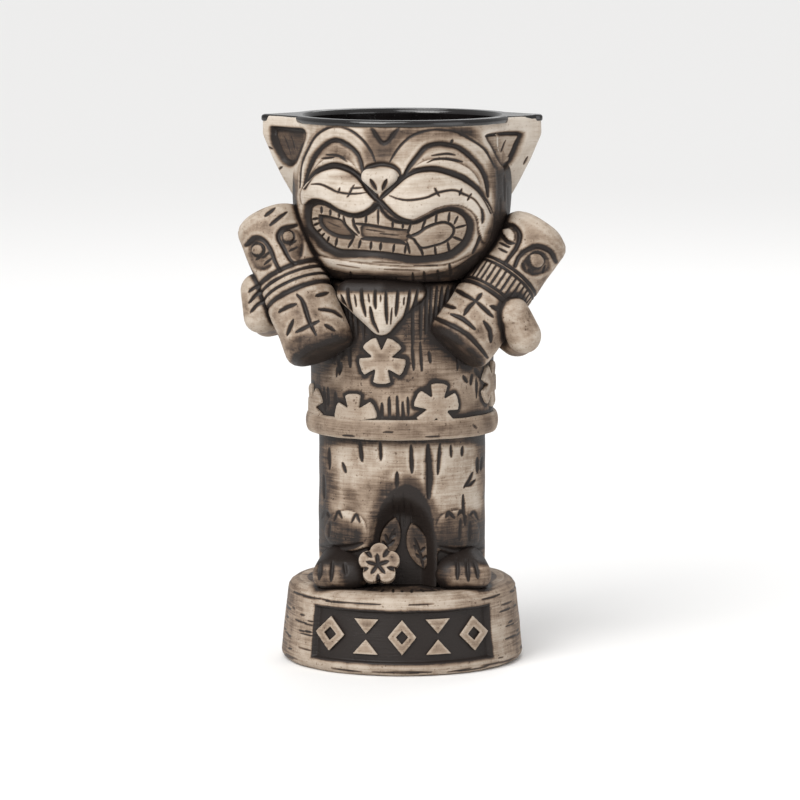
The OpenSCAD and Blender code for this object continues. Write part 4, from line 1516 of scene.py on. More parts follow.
@dataclass
class Shirt:
    """The flowered shirt with its rolled hem and pressed flowers."""

    body: Body
    relief: float = 1.0
    flower_r: float = 8.0

    def shell(self) -> Clay:
        """Turns the shirt and scores it with upright tool marks.

        Returns:
            The clay.
        """
        b = self.body
        turned = Turning(
            "shirt_shell",
            [
                (0, b.hem_z, 0), (0, b.neck_z, 0), (WALL, b.neck_z, 0), (WALL, b.hem_z + WALL, 0),
                (WALL, b.hem_z, 1)
            ], [130, 2, 8, 1], 360, crowd=0.34
        )
        clay, bearing, inset, z, leg, _ = turned.spin()
        rx, rf, rb = b.shirt(np.minimum(b.neck_z, z + inset))
        rx, rf, rb = (
            mix(r - inset, own / 2 - inset, leg) for r, own in ((rx, b.leg_w), (rf, b.leg_d), (rb, b.leg_d))
        )
        x, y = b.ring(bearing, rx, rf, rb)
        clay.co = np.stack([x, y, z], 1)
        right_way_out(clay)
        clay.skin = (inset < ON_SKIN).astype(float)
        c = SHEET.lay(clay)
        c.strokes([
            [(3.4, 114), (4, 105.6)], [(6.1, 115), (6.7, 105.3)], [(-17.9, 114), (-17.4, 106.6)],
            [(-26.3, 99.8), (-25.8, 92)], [(-25, 99.8), (-24.8, 93.5)], [(-4.4, 96.4), (-4.2, 89.6)],
            [(-1.7, 96.8), (-1.3, 88.6)], [(0.2, 94.8), (0.5, 88.3)], [(1.9, 96.3), (2.2, 90.3)],
            [(28.8, 110.7), (28.3, 103.9)], [(31.4, 108.1), (31.7, 101.5)], [(-21.4, 110), (-21, 104)],
            [(9, 112), (9.6, 108)], [(-6.8, 94.4), (-6.7, 89.4)], [(-22.4, 98), (-22.2, 93.6)],
            [(23.6, 104), (23.2, 100.6)]
        ], 0.75, 0.45, 0.85)
        neck = [
            [(u, 134), (u + lean, low)]
            for u, lean, low in (
                (-22, 2.4, 124), (-20.4, 2.4, 122), (-18.6, 2, 119), (-16.4, 1.4, 117), (10, -0.6, 121),
                (11.8, -0.8, 122), (13.6, -1, 124), (15.6, -1.2, 126), (17.6, -1.4, 128), (8.4, -0.4, 118),
                (6.6, -0.4, 116), (-13.6, 0.8, 115), (-10, 0.2, 113), (3.6, 0, 112)
            )
        ]
        c.strokes(neck, 0.8, 0.45, 0.7)
        c.strokes([
            [(20.6, 103.6), (22, 101.4)], [(24.6, 106), (26.2, 103)], [(27.4, 100.4), (30, 99)],
            [(29.6, 96.6), (30, 92.6)]
        ], 0.9, 0.4, 0.85)
        c.press()
        share = np.where((inset < ON_SKIN) & (np.abs(bearing) > 0.6), 1.0, 0.0)
        c = Carver(clay, bearing * 30, z, share)
        rng = np.random.default_rng(5)
        for _ in range(64):
            u, v = rng.uniform(-92, 92), rng.uniform(92, 126)
            long = rng.uniform(3, 9)
            c.groove([(u, v), (u + rng.uniform(-0.5, 0.5), v - long)], rng.uniform(0.55, 0.9), 0.4, 0.8)
        c.press()
        c = SHEET.lay(clay)
        c.tint([(-34, 124), (-12, 124), (-4, 116), (-20, 108), (-34, 100)], 0.26, 3)
        c.tint([(34, 124), (4, 124), (1, 116), (12, 108), (24, 104), (34, 100)], 0.26, 3)
        c.tint([(-34, 100), (-22, 100), (-21, 86), (-34, 86)], 0.3, 3)
        clay.uneven(10, 0.25, 8.0, inset < ON_SKIN)
        clay.settle_stain_shade_and_highlight()
        return clay

    def hem(self) -> Clay:
        """Rolls the hem.

        Returns:
            The clay.
        """
        b = self.body
        low, high = span("shirt_hem")
        half = (high[2] - low[2]) / 2
        bead = [
            (-0.4 - 1.4 * math.cos(a), low[2] + half * (1 + math.sin(a)), 0.0)
            for a in np.radians(np.arange(-90, 91, 15))
        ]
        bead += [(0.6, high[2] - 0.3, 0.0), (0.6, low[2] + 0.1, 0.0)]
        clay, bearing, inset, z, _, _ = Turning("shirt_hem", bead, [1] * (len(bead) - 1), 360, crowd=0.3).spin()
        rx, rf, rb = b.shirt(z)
        x, y = b.ring(bearing, rx - inset, rf - inset, rb - inset)
        clay.co = np.stack([x, y, z], 1)
        right_way_out(clay)
        clay.skin = (inset < ON_SKIN).astype(float)
        c = SHEET.lay(clay)
        c.strokes([
            [(24, 87), (25.2, 85.8)], [(-20, 83.4), (-16, 83.1)], [(8, 82.9), (13, 83)],
            [(-6, 84.6), (-3, 84.5)]
        ], 0.5, 0.2, 0.5)
        c.press()
        clay.uneven(8, 0.2, 2.0)
        clay.settle_stain_shade_and_highlight(1.8)
        return clay

    def flower(self, name: str, bearing: float, height: float, spin: float) -> Clay:
        """Presses one flower on to the shirt.

        Args:
            name: Its node's name.
            bearing: Degrees round from the front.
            height: Height of its middle.
            spin: Degrees by which it is turned.

        Returns:
            The clay.
        """
        r = self.flower_r
        outline: list[tuple[float, float]] = []
        for k in range(5):
            arm = math.radians(72 * k + spin)
            for u, v in ((0.25, 0.36), (0.37, 0.93), (0.18, 1.0), (-0.18, 1.0), (-0.37, 0.93), (-0.25, 0.36)):
                u, v = -u * r, v * r
                outline.append((u * math.cos(arm) - v * math.sin(arm), u * math.sin(arm) + v * math.cos(arm)))
        clay = Plate(name, [outline[::-1]], 2.2, 0.32, 2).model()
        u, w, v = clay.co.T
        z = height + v
        rx, rf, _ = self.body.shirt(np.full(len(z), self.body.hem_z))
        turn = math.radians(bearing)
        cos, sin = math.cos(turn), math.sin(turn)
        base, way = (u * cos, u * sin), (sin, -cos)
        a = (way[0] / rx) ** 2 + (way[1] / rf) ** 2
        b = 2 * (base[0] * way[0] / rx**2 + base[1] * way[1] / rf**2)
        c = (base[0] / rx) ** 2 + (base[1] / rf) ** 2 - 1
        t = (-b + np.sqrt(np.maximum(b * b - 4 * a * c, 0))) / (2 * a)
        out = t + np.minimum(w, 2.2) - 2.2 + self.relief
        clay.co = np.stack([base[0] + out * way[0], base[1] + out * way[1], z], 1)
        keep = self.body.hem_z + 6.6
        clay.co[:, 2] = np.maximum(clay.co[:, 2], keep)
        right_way_out(clay)
        clay.uneven(5, 0.1, bearing)
        clay.settle_stain_shade_and_highlight(2.0)
        return clay


@dataclass
class Legs:
    """The trouser block with its feet, leaves and the flower at its feet."""

    body: Body

    def shell(self) -> Clay:
        """Turns the trousers, hollows the arch and cuts the creases.

        Returns:
            The clay.
        """
        b = self.body
        turned = Turning(
            "leg_shell", [(0, b.leg_z, 1), (0, b.hem_z, 1), (WALL, b.hem_z, 1), (WALL, b.leg_z, 1)],
            [128, 2, 24], 380, crowd=0.38
        )
        clay, bearing, inset, z, _, _ = turned.spin()
        x, y = b.ring(bearing, b.leg_w / 2 - inset, b.leg_d / 2 - inset, b.leg_d / 2 - inset)
        y = y + b.leg(x, y, z)
        clay.co = np.stack([x, y, z], 1)
        right_way_out(clay)
        clay.skin = (inset < ON_SKIN).astype(float)
        c = SHEET.lay(clay)
        c.cushion([(-24, 56), (-18, 58), (-13, 55), (-12, 49), (-15, 45.6), (-22, 45.4), (-26, 50)], 0.6, 4)
        c.cushion([(13, 56), (19, 58), (25, 54), (26, 48), (22, 45), (14, 45), (11.4, 50)], 0.6, 4)
        c.strokes([
            [(-14.2, 81), (-13.5, 74.7)], [(-7.4, 81), (-7.1, 75)], [(3, 80), (3.4, 70.8)],
            [(12.8, 80.4), (12.1, 70.3)], [(-1.7, 70.8), (-1.7, 65.7)]
        ], 1.0, 0.6, 1.0)
        c.groove([(8.8, 80), (9.3, 71), (9.1, 62.3)], 1.9, 0.9, 1.0)
        c.strokes([
            [(25.4, 75.9), (25.3, 70.8)], [(26.9, 76), (26.5, 71.6)], [(20.6, 63.2), (20.9, 53)],
            [(23.8, 70.8), (22.6, 68), (20.9, 65.7)], [(21.6, 66.2), (23.2, 66.8), (24.6, 68.3)],
            [(-20.1, 74.2), (-18.9, 70.8)], [(-24.6, 79), (-24.4, 72)], [(-26.4, 70), (-26.2, 62)],
            [(16.4, 80), (16.6, 76)], [(20.4, 79.6), (20.2, 76.6)]
        ], 0.8, 0.5, 0.9)
        c.region([
            (-33, 44.6), (-24, 43.8), (-17, 44), (-11, 45.2), (-9, 40), (-9, 24), (-33, 24)
        ], -1.3, 1.0, 0.5)
        c.region([
            (33, 44.6), (26, 43.4), (18, 43.2), (12.4, 44), (12.6, 36), (12, 24), (33, 24)
        ], -1.3, 1.0, 0.5)
        c.groove([(-29, 46.4), (-24, 45.4), (-18, 45.6), (-13.4, 46.8)], 1.5, 0.8, 1.0)
        c.groove([(12.4, 45.6), (18, 44.6), (24, 44.8), (29, 46.2)], 1.5, 0.8, 1.0)
        c.strokes([
            [(-27, 55.4), (-25.6, 57.6), (-24.4, 55.8)], [(-22.4, 54.6), (-21.4, 57.4), (-19.8, 55.4)],
            [(-16.6, 54), (-15.4, 56.4), (-14, 54)], [(14.6, 55.6), (15.8, 57.2), (17.4, 55.4)],
            [(18.6, 56.4), (20, 57.6), (21.4, 55.6)], [(23, 56.6), (24.4, 57.4), (25.6, 55)],
            [(19.4, 55), (19, 48)], [(22.6, 54), (22.4, 47.6)], [(-24, 54), (-24.2, 49)]
        ], 0.85, 0.45, 0.85)
        c.strokes([
            [(-3, 63), (-2.6, 55)], [(0.6, 64), (0.8, 52)], [(-1, 60), (-1, 48)], [(3, 60), (3.4, 52)]
        ], 0.9, 0.5, 1.0)
        c.press()
        c = SHEET.lay(clay)
        # Painted shade in the arch between the legs, and a softer, wider painted shade round it.
        c.tint([
            (-9.4, 40), (-8.6, 52), (-6.4, 60), (-2.4, 65), (2, 66.4), (6, 64), (9.2, 59), (10.8, 51),
            (11.6, 44), (13, 34), (12, 26), (-9, 26)
        ], 0.84, 0.8)
        c.tint([
            (-12, 44), (-11, 56), (-7, 64), (-1, 69), (4, 69), (9, 64), (12.6, 56), (13.6, 44), (14, 28),
            (-12, 28)
        ], 0.38, 1.6)
        c.tint([(-30, 57), (-25, 57.6), (-20, 54.6), (-14, 52), (-14, 46), (-30, 44)], 0.55, 2.4)
        c.tint([(14, 55), (20, 56.6), (30, 57), (30, 44), (13, 44)], 0.45, 2.4)
        # Painted shade down the trousers' left side.
        c.tint([(-31, 82), (-24, 82), (-23, 60), (-26, 50), (-31, 50)], 0.42, 3)
        # Painted shade under the shirt's hem.
        c.tint([(-32, 84), (32, 84), (32, 80.6), (-32, 80.6)], 0.55, 1.6)
        # Painted shade down the trousers' right side.
        c.tint([(25, 82), (31, 82), (31, 60), (27, 60)], 0.35, 2)
        c.tint([(-19, 64), (-11, 68), (-5, 72), (-4, 66), (-9, 60), (-17, 58)], 0.2, 2.6)
        share = np.where((inset < ON_SKIN) & (np.abs(bearing) > 1.5), 1.0, 0.0)
        c = Carver(clay, np.where(bearing < 0, bearing + 2 * np.pi, bearing) * 27, z, share)
        rng = np.random.default_rng(7)
        for k in range(30):
            u = 44 + 3.0 * k + rng.uniform(-1, 1)
            c.groove([(u, 80.5), (u + 0.3, 80 - rng.uniform(3, 13))], rng.uniform(0.8, 1.3), 0.6, 0.95)
        for k in range(22):
            u, v = rng.uniform(44, 132), rng.uniform(44, 66)
            c.groove([(u, v), (u + rng.uniform(-0.6, 0.6), v - rng.uniform(3, 8))], 0.8, 0.4, 0.8)
        c.groove([(40, 42), (85, 41), (130, 42)], 1.6, 0.8, 1.0)
        c.groove([(85, 30), (84.6, 48), (85, 62)], 1.8, 1.1, 1.0)
        c.press()
        clay.uneven(9, 0.25, 1.7, inset < ON_SKIN)
        clay.settle_stain_shade_and_highlight()
        return clay

    def foot(self, side: int) -> Clay:
        """Models one foot with its toes.

        Args:
            side: -1 for the left foot, 1 for the right.

        Returns:
            The clay.
        """
        x, toe_y, z = side * 21.08, -21.84, self.body.leg_z + 4.32
        balls = [(x - 3.8, toe_y, z, 6.0), (x + 3.8, toe_y, z, 6.0), (x, toe_y + 8.4, z + 0.4, 8.6)]
        clay = Lump("left_foot" if side < 0 else "right_foot", [balls], 0.32, 4, floor=self.body.leg_z).model()
        c = SHEET.lay(clay)
        if side < 0:
            c.strokes([
                [(-27.4, 40), (-27.6, 37.6), (-28, 34.6)], [(-23.4, 40.6), (-23.6, 37.6), (-23.9, 34)],
                [(-19.4, 40), (-18.8, 36)]
            ], 1.1, 0.8, 1.0)
            # Painted shade on the foot's inner side, by the arch.
            c.tint([(-20, 42), (-14, 42), (-14, 32), (-19, 32)], 0.6, 2)
        else:
            c.strokes([
                [(18.4, 41.8), (18.7, 38.6), (18.7, 34.6)], [(21.9, 41.4), (22.1, 38), (22.4, 34)],
                [(24.2, 41), (25.2, 38), (25.6, 35)]
            ], 1.1, 0.8, 1.0)
            # Painted shade on the foot's inner side, by the arch.
            c.tint([(10, 42), (15.4, 42), (15, 32), (10, 32)], 0.6, 2)
        # Painted shade over the top of the foot, under the trousers.
        c.tint([(-40, 50), (40, 50), (40, 40.4), (-40, 40.4)], 0.7, 1.4)
        c.press()
        clay.uneven(5, 0.12, side)
        clay.settle_stain_shade_and_highlight()
        clay.stain(np.full(len(clay.co), 0.24))
        return clay

    def flower(self) -> Clay:
        """Models the five-petalled flower between the feet.

        Returns:
            The clay.
        """
        petal, lean = 3.2, math.radians(68)
        outline: list[tuple[float, float]] = []
        for k in range(5):
            for step in range(-4, 5):
                swing = math.radians(8.6 * step)
                edge = 4.1 * math.cos(swing) + math.sqrt(petal**2 - (4.1 * math.sin(swing)) ** 2)
                turn = math.radians(72 * k + 90) + swing
                outline.append((edge * math.cos(turn), edge * math.sin(turn)))
        clay = Plate("foot_flower", [outline], 4.0, 0.3, 4).model()
        u, w, v = clay.co.T
        r = np.hypot(u, v)
        lift = 0.9 * bell(r - 4.6, 3.2) - 0.9 * bell(r, 2.4)
        w = w - 2.0 + np.where(w > 2, lift, 0) * 0.6
        w = np.clip(w, -2, 2)
        x0, y0, z0 = -7.83, -27.2, self.body.leg_z + 8.6
        y = y0 + v * math.cos(lean) - w * math.sin(lean)
        z = z0 + v * math.sin(lean) + w * math.cos(lean)
        clay.co = np.stack([x0 + u, y, np.maximum(z, self.body.leg_z)], 1)
        right_way_out(clay)
        c = SHEET.lay(clay)
        mx, mz = -8.2, 39.5
        for k in range(5):
            turn = math.radians(72 * k + 92)
            fan = math.cos(turn), 0.93 * math.sin(turn)
            c.groove([
                (mx, mz), (mx + 1.9 * fan[0], mz + 1.9 * fan[1]), (mx + 3.9 * fan[0], mz + 3.9 * fan[1])
            ], 1.0, 0.6, 1.0, 0.7)
            gap = math.radians(72 * k + 128)
            c.groove([
                (mx + 3.6 * math.cos(gap), mz + 3.4 * math.sin(gap)),
                (mx + 7 * math.cos(gap), mz + 6.6 * math.sin(gap))
            ], 1.1, 0.7, 0.95)
        c.press()
        clay.settle_stain_shade_and_highlight(2.0)
        return clay

    def leaf(self, side: int) -> Clay:
        """Models one leaf in the arch.

        Args:
            side: -1 for the left leaf, 1 for the right.

        Returns:
            The clay.
        """
        x, z, lean, long = (-4.0, 44.5, -14.0, 11.0) if side < 0 else (5.5, 41.86, 16.0, 12.0)
        wide = long * 0.62
        half = wide * 1.5 * math.cos(math.asin(1 / 1.5))
        edge = [(math.sqrt((wide * 1.5) ** 2 - t * t) - wide, t) for t in np.linspace(-half, half, 15)]
        shape = edge + [(-u, v) for u, v in edge[::-1][1:-1]]
        turn = math.radians(lean)
        outline = [
            (u * math.cos(turn) - v * math.sin(turn), u * math.sin(turn) + v * math.cos(turn)) for u, v in shape
        ]
        clay = Plate("left_leaf" if side < 0 else "right_leaf", [outline[::-1]], 3.2, 0.28, 3).model()
        u, w, v = clay.co.T
        back = -self.body.leg_d / 2 + self.body.arch_deep + 2
        clay.co = np.stack([x + u, back - w, z + v], 1)
        right_way_out(clay)
        c = SHEET.lay(clay)
        if side < 0:
            veins = [
                [(-5.9, 42.4), (-4.6, 46.8), (-2.4, 51.6)], [(-5.2, 45), (-6.4, 47.4)],
                [(-4.6, 46.8), (-5.6, 49.6)], [(-4.6, 46), (-2.6, 47.8)], [(-3.9, 48.4), (-2.2, 50)]
            ]
        else:
            veins = [
                [(7.2, 38.6), (6.2, 43), (4.2, 48.4)], [(6.6, 41), (8.4, 42.6)], [(6, 43.6), (7.8, 45.4)],
                [(6.4, 41.6), (4.6, 43.2)], [(5.6, 44.6), (4, 46)]
            ]
        c.strokes(veins, 0.8, 0.5, 1.0)
        c.press()
        clay.settle_stain_shade_and_highlight()
        clay.stain(np.full(len(clay.co), 0.42))
        return clay


@dataclass
class Plinth:
    """The round plinth with its sunk panel and raised pattern."""

    radius: float = 42.2
    taper: float = 2.2
    panel_half: float = 35.0
    panel_low: float = 5.0
    panel_high: float = 22.0
    sunk: float = 1.6

    def shell(self, body: Body) -> Clay:
        """Turns the plinth, sinks its panel and brushes its side.

        Args:
            body: The forms of the cast shells.

        Returns:
            The clay.
        """
        top = body.leg_z
        drum = self.radius - self.taper - WALL - 0.5
        arc = [math.radians(a) for a in (22.5, 45, 67.5)]
        foot = [(self.radius - 3 + 3 * math.sin(a), 3 - 3 * math.cos(a), 0.0) for a in arc]
        crest = [(self.radius - self.taper - 4 + 4 * math.cos(a), top - 4 + 4 * math.sin(a), 0.0) for a in arc]
        corners = [
            (0.0, 0.0, 0.0), (self.radius - 3, 0.0, 0.0), *foot, (self.radius, 3.0, 0.0),
            (self.radius - self.taper, top - 4, 0.0), *crest
        ]
        corners += [
            (self.radius - self.taper - 4, top, 0.0), (0.0, top, 1.0), (0.0, top - WALL, 1.0),
            (drum, top - WALL, 0.0), (drum, WALL, 0.0), (0.0, WALL, 0.0)
        ]
        cuts = [10, 2, 2, 2, 2, 64, 3, 3, 3, 3, 26, 2, 8, 8, 8]
        turned = Turning("plinth", corners, cuts, 420, closed=False, poles=(0, len(corners) - 1), crowd=0.3)
        clay, bearing, r, z, leg, share = turned.spin()
        lx, ly = body.ring(bearing, body.leg_w / 2 - WALL, body.leg_d / 2 - WALL, body.leg_d / 2 - WALL)
        ly = ly + body.leg(lx, ly, np.full(len(lx), body.leg_z))
        flat = np.where(share < 0.999, share, 1.0)
        solid = np.where(leg > 0, r / np.maximum(1 - leg, 1e-6), r)
        solid = np.where(leg > 0.999, 0, solid)
        full = np.where(z < 0.01, self.radius - 3, np.where(np.abs(z - WALL) < 0.01, drum, solid))
        radius = np.where(flat < 1, full, np.where(leg > 0, solid, r))
        x = mix(radius * np.sin(bearing) * flat, lx, leg)
        y = mix(-radius * np.cos(bearing) * flat, ly, leg)
        clay.co = np.stack([x, y, z], 1)
        right_way_out(clay)
        side = (flat >= 1) & (r > self.radius - self.taper - 4.1) & (leg <= 0)
        c = Carver(clay, bearing * self.radius, z, np.where(side, 1.0, 0.0))
        w, low, high = self.panel_half, self.panel_low, self.panel_high
        d = np.minimum(np.minimum(w - np.abs(c.u), c.v - low), high - c.v)
        part = ease(d / 0.6 + 0.5) * c.share
        c.rise -= self.sunk * part
        c.ink = np.maximum(c.ink, 0.86 * part)
        c.ink = np.maximum(c.ink, np.exp(-((d / 0.7) ** 2)) * c.share)
        rng = np.random.default_rng(3)
        for _ in range(150):
            u, v = rng.uniform(-132, 132), rng.uniform(2.5, 24)
            if abs(u) < w + 2:
                continue
            long = rng.uniform(3, 12)
            c.groove([(u, v), (u + long, v + rng.uniform(-0.3, 0.3))], rng.uniform(0.35, 0.6), 0.16, 0.5)
        for v in (1.6, 24.6):
            for _ in range(26):
                u = rng.uniform(-130, 120)
                c.groove([
                    (u, v + rng.uniform(-0.5, 0.5)), (u + rng.uniform(6, 16), v + rng.uniform(-0.5, 0.5))
                ], 0.5, 0.2, 0.5)
        c.press()
        on_top = (z > top - 1.2) & (leg < 0.999)
        c = Carver(
            clay, np.degrees(bearing), np.hypot(clay.co[:, 0], clay.co[:, 1]), np.where(on_top, 1.0, 0.0)
        )
        for k in range(60):
            turn = -180 + 6 * k + rng.uniform(-1.5, 1.5)
            start = rng.uniform(25, 29)
            c.groove([(turn, start), (turn + rng.uniform(-1, 1), start + rng.uniform(2.5, 6.5))], 1.1, 0.4, 0.8)
        c.press()
        clay.uneven(9, 0.2, 6.0, side | on_top)
        clay.co[:, 2] = np.clip(clay.co[:, 2], 0, top + 0.3)
        clay.settle_stain_shade_and_highlight()
        c = Carver(clay, np.degrees(bearing), z, np.where(side, 1.0, 0.0))
        clay.stain(np.where(on_top & (np.hypot(clay.co[:, 0], clay.co[:, 1]) < 33), 0.3, 0.0))
        clay.stain(0.14 * ease((np.abs(np.degrees(bearing)) - 50) / 25) * side)
        return clay

    def marks(self) -> Clay:
        """Cuts the panel's raised diamonds and triangles and bends them round the front.

        Returns:
            The clay.
        """
        pitch, tall = self.panel_half * 2 / 5.4, self.panel_high - self.panel_low - 5
        outlines: list[Path] = []
        for i in (-2, 0, 2):
            m = i * pitch
            o = [(m - pitch * 0.4, 0.0), (m, tall / 2), (m + pitch * 0.4, 0.0), (m, -tall / 2)]
            n = [(m - pitch * 0.17, 0.0), (m, tall * 0.2), (m + pitch * 0.17, 0.0), (m, -tall * 0.2)]
            for k in range(4):
                outlines.append([o[k], o[(k + 1) % 4], n[(k + 1) % 4], n[k]])
        for i in (-1, 1):
            for s in (-1, 1):
                m = i * pitch
                outlines.append([
                    (m - pitch * 0.34, s * tall / 2), (m + pitch * 0.34, s * tall / 2), (m, s * tall * 0.08)
                ])
        clay = Plate("panel_relief", outlines, 1.7, 0.24, 1).model()
        u, w, v = clay.co.T
        mid = (self.panel_low + self.panel_high) / 2
        z = mid + v
        slope = self.taper / 21
        r = self.radius - slope * (z - 3) - self.sunk - 0.7 + np.minimum(w, 1.7)
        turn = np.arcsin(np.clip(u / self.radius, -1, 1))
        clay.co = np.stack([r * np.sin(turn), -r * np.cos(turn), z], 1)
        right_way_out(clay)
        clay.uneven(4, 0.08, 9.0)
        proud = np.hypot(clay.co[:, 0], clay.co[:, 1]) - (self.radius - slope * (clay.co[:, 2] - 3) - self.sunk)
        clay.stain(0.95 * ease((0.72 - proud) / 0.5))
        clay.settle_stain_shade_and_highlight(1.6)
        return clay


@dataclass
class Beaker:
    """A small carved beaker, the paw that holds it and the arm behind it."""

    side: int
    body: Body
    place: tuple[float, float, float]
    tilt: float
    grip: tuple[float, float, float, tuple[float, float, float]]
    lean: float = 21.5
    radius: float = 12.0
    long: float = 54.0
    edge: float = 4.0
    paw_r: float = 6.0
    paw_l: float = 9.0
    arm_r: float = 6.5

    @property
    def word(self) -> str:
        """Which side it is on, as the nodes are named."""
        return "left" if self.side < 0 else "right"

    def out(self, p: np.ndarray) -> np.ndarray:
        """Carries points from the beaker's own frame into the mug's.

        Args:
            p: Points, one a row.

        Returns:
            The points in place.
        """
        p = np.atleast_2d(np.asarray(p, float))
        lean, tilt = math.radians(self.lean), math.radians(self.side * self.tilt)
        y = p[:, 1] * math.cos(lean) + p[:, 2] * math.sin(lean)
        z = p[:, 2] * math.cos(lean) - p[:, 1] * math.sin(lean)
        x = p[:, 0] * math.cos(tilt) + z * math.sin(tilt)
        return np.stack([x, y, z * math.cos(tilt) - p[:, 0] * math.sin(tilt)], 1) + np.array(self.place)

    def cup(self) -> Clay:
        """Turns the beaker and carves its face and bands.

        Returns:
            The clay.
        """
        h, r, e = self.long / 2, self.radius, self.edge
        arc = [math.radians(a) for a in (0, 22.5, 45, 67.5, 90)]
        corners = [(0.0, -h, 0.0)]
        corners += [(r - e + e * math.sin(a), -h + e * (1 - math.cos(a)), 0.0) for a in arc]
        corners += [(r - e + e * math.cos(a), h - e * (1 - math.sin(a)), 0.0) for a in arc]
        corners += [(r - e - 0.8, h - 2.5, 0.0), (0.0, h - 2.5, 0.0)]
        cuts = [5, 3, 3, 3, 3, 110, 3, 3, 3, 3, 4, 5]
        turned = Turning(
            self.word + "_beaker", corners, cuts, 190, closed=False, poles=(0, len(corners) - 1), crowd=0.3
        )
        clay, bearing, rr, z, _, share = turned.spin()
        full = np.where(z < 0, r - e, r - e - 0.8)
        radius = np.where(share < 0.999, full * share, rr)
        local = np.stack([radius * np.sin(bearing), -radius * np.cos(bearing), z], 1)
        clay.co = local.copy()
        right_way_out(clay)
        c = Carver(clay, bearing * r, z, np.where(share >= 0.999, 1.0, 0.0))
        round_ = r * 3.2
        if self.side < 0:
            for at, w in ((3.4, 1.3), (1.0, 0.7), (-1.7, 0.7), (-4.8, 1.3)):
                c.groove([(-round_, at), (round_, at)], w, 0.6, 1.0, 0)
        else:
            for at, w in ((5.2, 0.9), (3.7, 0.8), (-4.2, 0.8), (-5.8, 1.1)):
                c.groove([(-round_, at), (round_, at)], w, 0.6, 1.0, 0)
            for k in range(-17, 18):
                c.groove([(k * 2.1, 3.4), (k * 2.1 + 0.2, -3.8)], 0.6, 0.4, 0.9, 0.2)
        for k in range(5):
            u = 16 + 4.4 * k + 1.0
            c.strokes([
                [(u, -9), (u + 1.4, -15)], [(u + 1.2, 9), (u - 0.4, 15)], [(u, 18), (u + 2, 21)]
            ], 0.8, 0.45, 0.85)
        c.strokes([
            [(-18, -9), (-16, -16)], [(-22, -12), (-25, -18)], [(-20, 10), (-18, 18)], [(-26, 9), (-24, 14)]
        ], 0.8, 0.45, 0.85)
        c.press()
        clay.co = self.out(clay.co)
        right_way_out(clay)
        (self.left_face if self.side < 0 else self.right_face)(SHEET.lay(clay))
        clay.uneven(7, 0.25, 12.0 + self.side)
        clay.settle_stain_shade_and_highlight()
        clay.stain(0.42 * ease((-h + 2.6 - z) / 2.0))
        clay.stain(0.5 * ease((z - h + 0.4) / 0.4) * (share < 0.999))
        return clay

    @staticmethod
    def left_face(c: Carver) -> None:
        """Carves the left beaker's mask, stem and dashes.

        Args:
            c: The carver laid on the clay.
        """
        c.region([
            (-52.4, 148), (-49.9, 149.8), (-46.8, 149), (-44.9, 146), (-43.4, 142), (-46, 139.6), (-50, 140.4)
        ], -0.45, 1.4, 0.12)
        c.region([
            (-36, 154), (-39.8, 152.6), (-40.8, 150.4), (-39.2, 147), (-37.2, 143.6), (-34, 143), (-33, 150)
        ], -0.45, 1.4, 0.2)
        c.groove([
            (-52.6, 148), (-49.9, 150.4), (-46.8, 149.7), (-44.5, 146.7), (-42.8, 142.3), (-41.2, 139.4)
        ], 1.3, 0.8, 1.0, 0.3)
        c.groove([
            (-35.6, 154.8), (-40.2, 153.5), (-41.7, 150.8), (-40, 147.2), (-37.9, 143.3), (-36.2, 141.8)
        ], 1.3, 0.8, 1.0, 0.3)
        for u, v in ((-48.9, 146.5), (-38.4, 151.1)):
            c.cushion([
                (u + 1.8 * math.cos(t), v + 1.8 * math.sin(t)) for t in np.linspace(0, 6.28, 10, endpoint=False)
            ], 1.3, 1.6)
            c.groove([
                (u + 2.2 * math.cos(t), v + 2.2 * math.sin(t)) for t in np.linspace(-2.6, 1.4, 8)
            ], 0.7, 0.4, 0.9)
        c.strokes([
            [(-46.2, 157.9), (-42.8, 160.6)], [(-44.5, 154.8), (-41, 157.6), (-38.8, 159.2)],
            [(-34, 157), (-32.4, 156)]
        ], 0.85, 0.5, 0.95)
        c.strokes([
            [(-47.4, 143.6), (-44.6, 145.8)], [(-46.8, 141.4), (-43.6, 144)], [(-49.6, 143), (-47.8, 144.2)],
            [(-37.6, 148.4), (-35.4, 149.8)], [(-38, 146.2), (-35, 147.6)]
        ], 0.6, 0.35, 0.8)
        c.groove([(-35.4, 131.2), (-33.4, 128.7), (-31.3, 122.2), (-29, 117.5)], 1.1, 0.6, 1.0)
        c.strokes([
            [(-35.7, 118.5), (-28, 122.2)], [(-35.7, 128), (-38.6, 127), (-41.5, 125.3)],
            [(-28, 126.3), (-23.3, 125.6), (-20.2, 123.6)], [(-29, 130.8), (-24.9, 131.8)],
            [(-36.7, 122.6), (-38.8, 117.5)], [(-26, 121), (-22.6, 119)]
        ], 0.95, 0.55, 0.95)
        c.press()
        c.tint([(-37, 116), (-26, 118.6), (-16, 120), (-14, 112), (-30, 104), (-38, 110)], 0.28, 1.6)

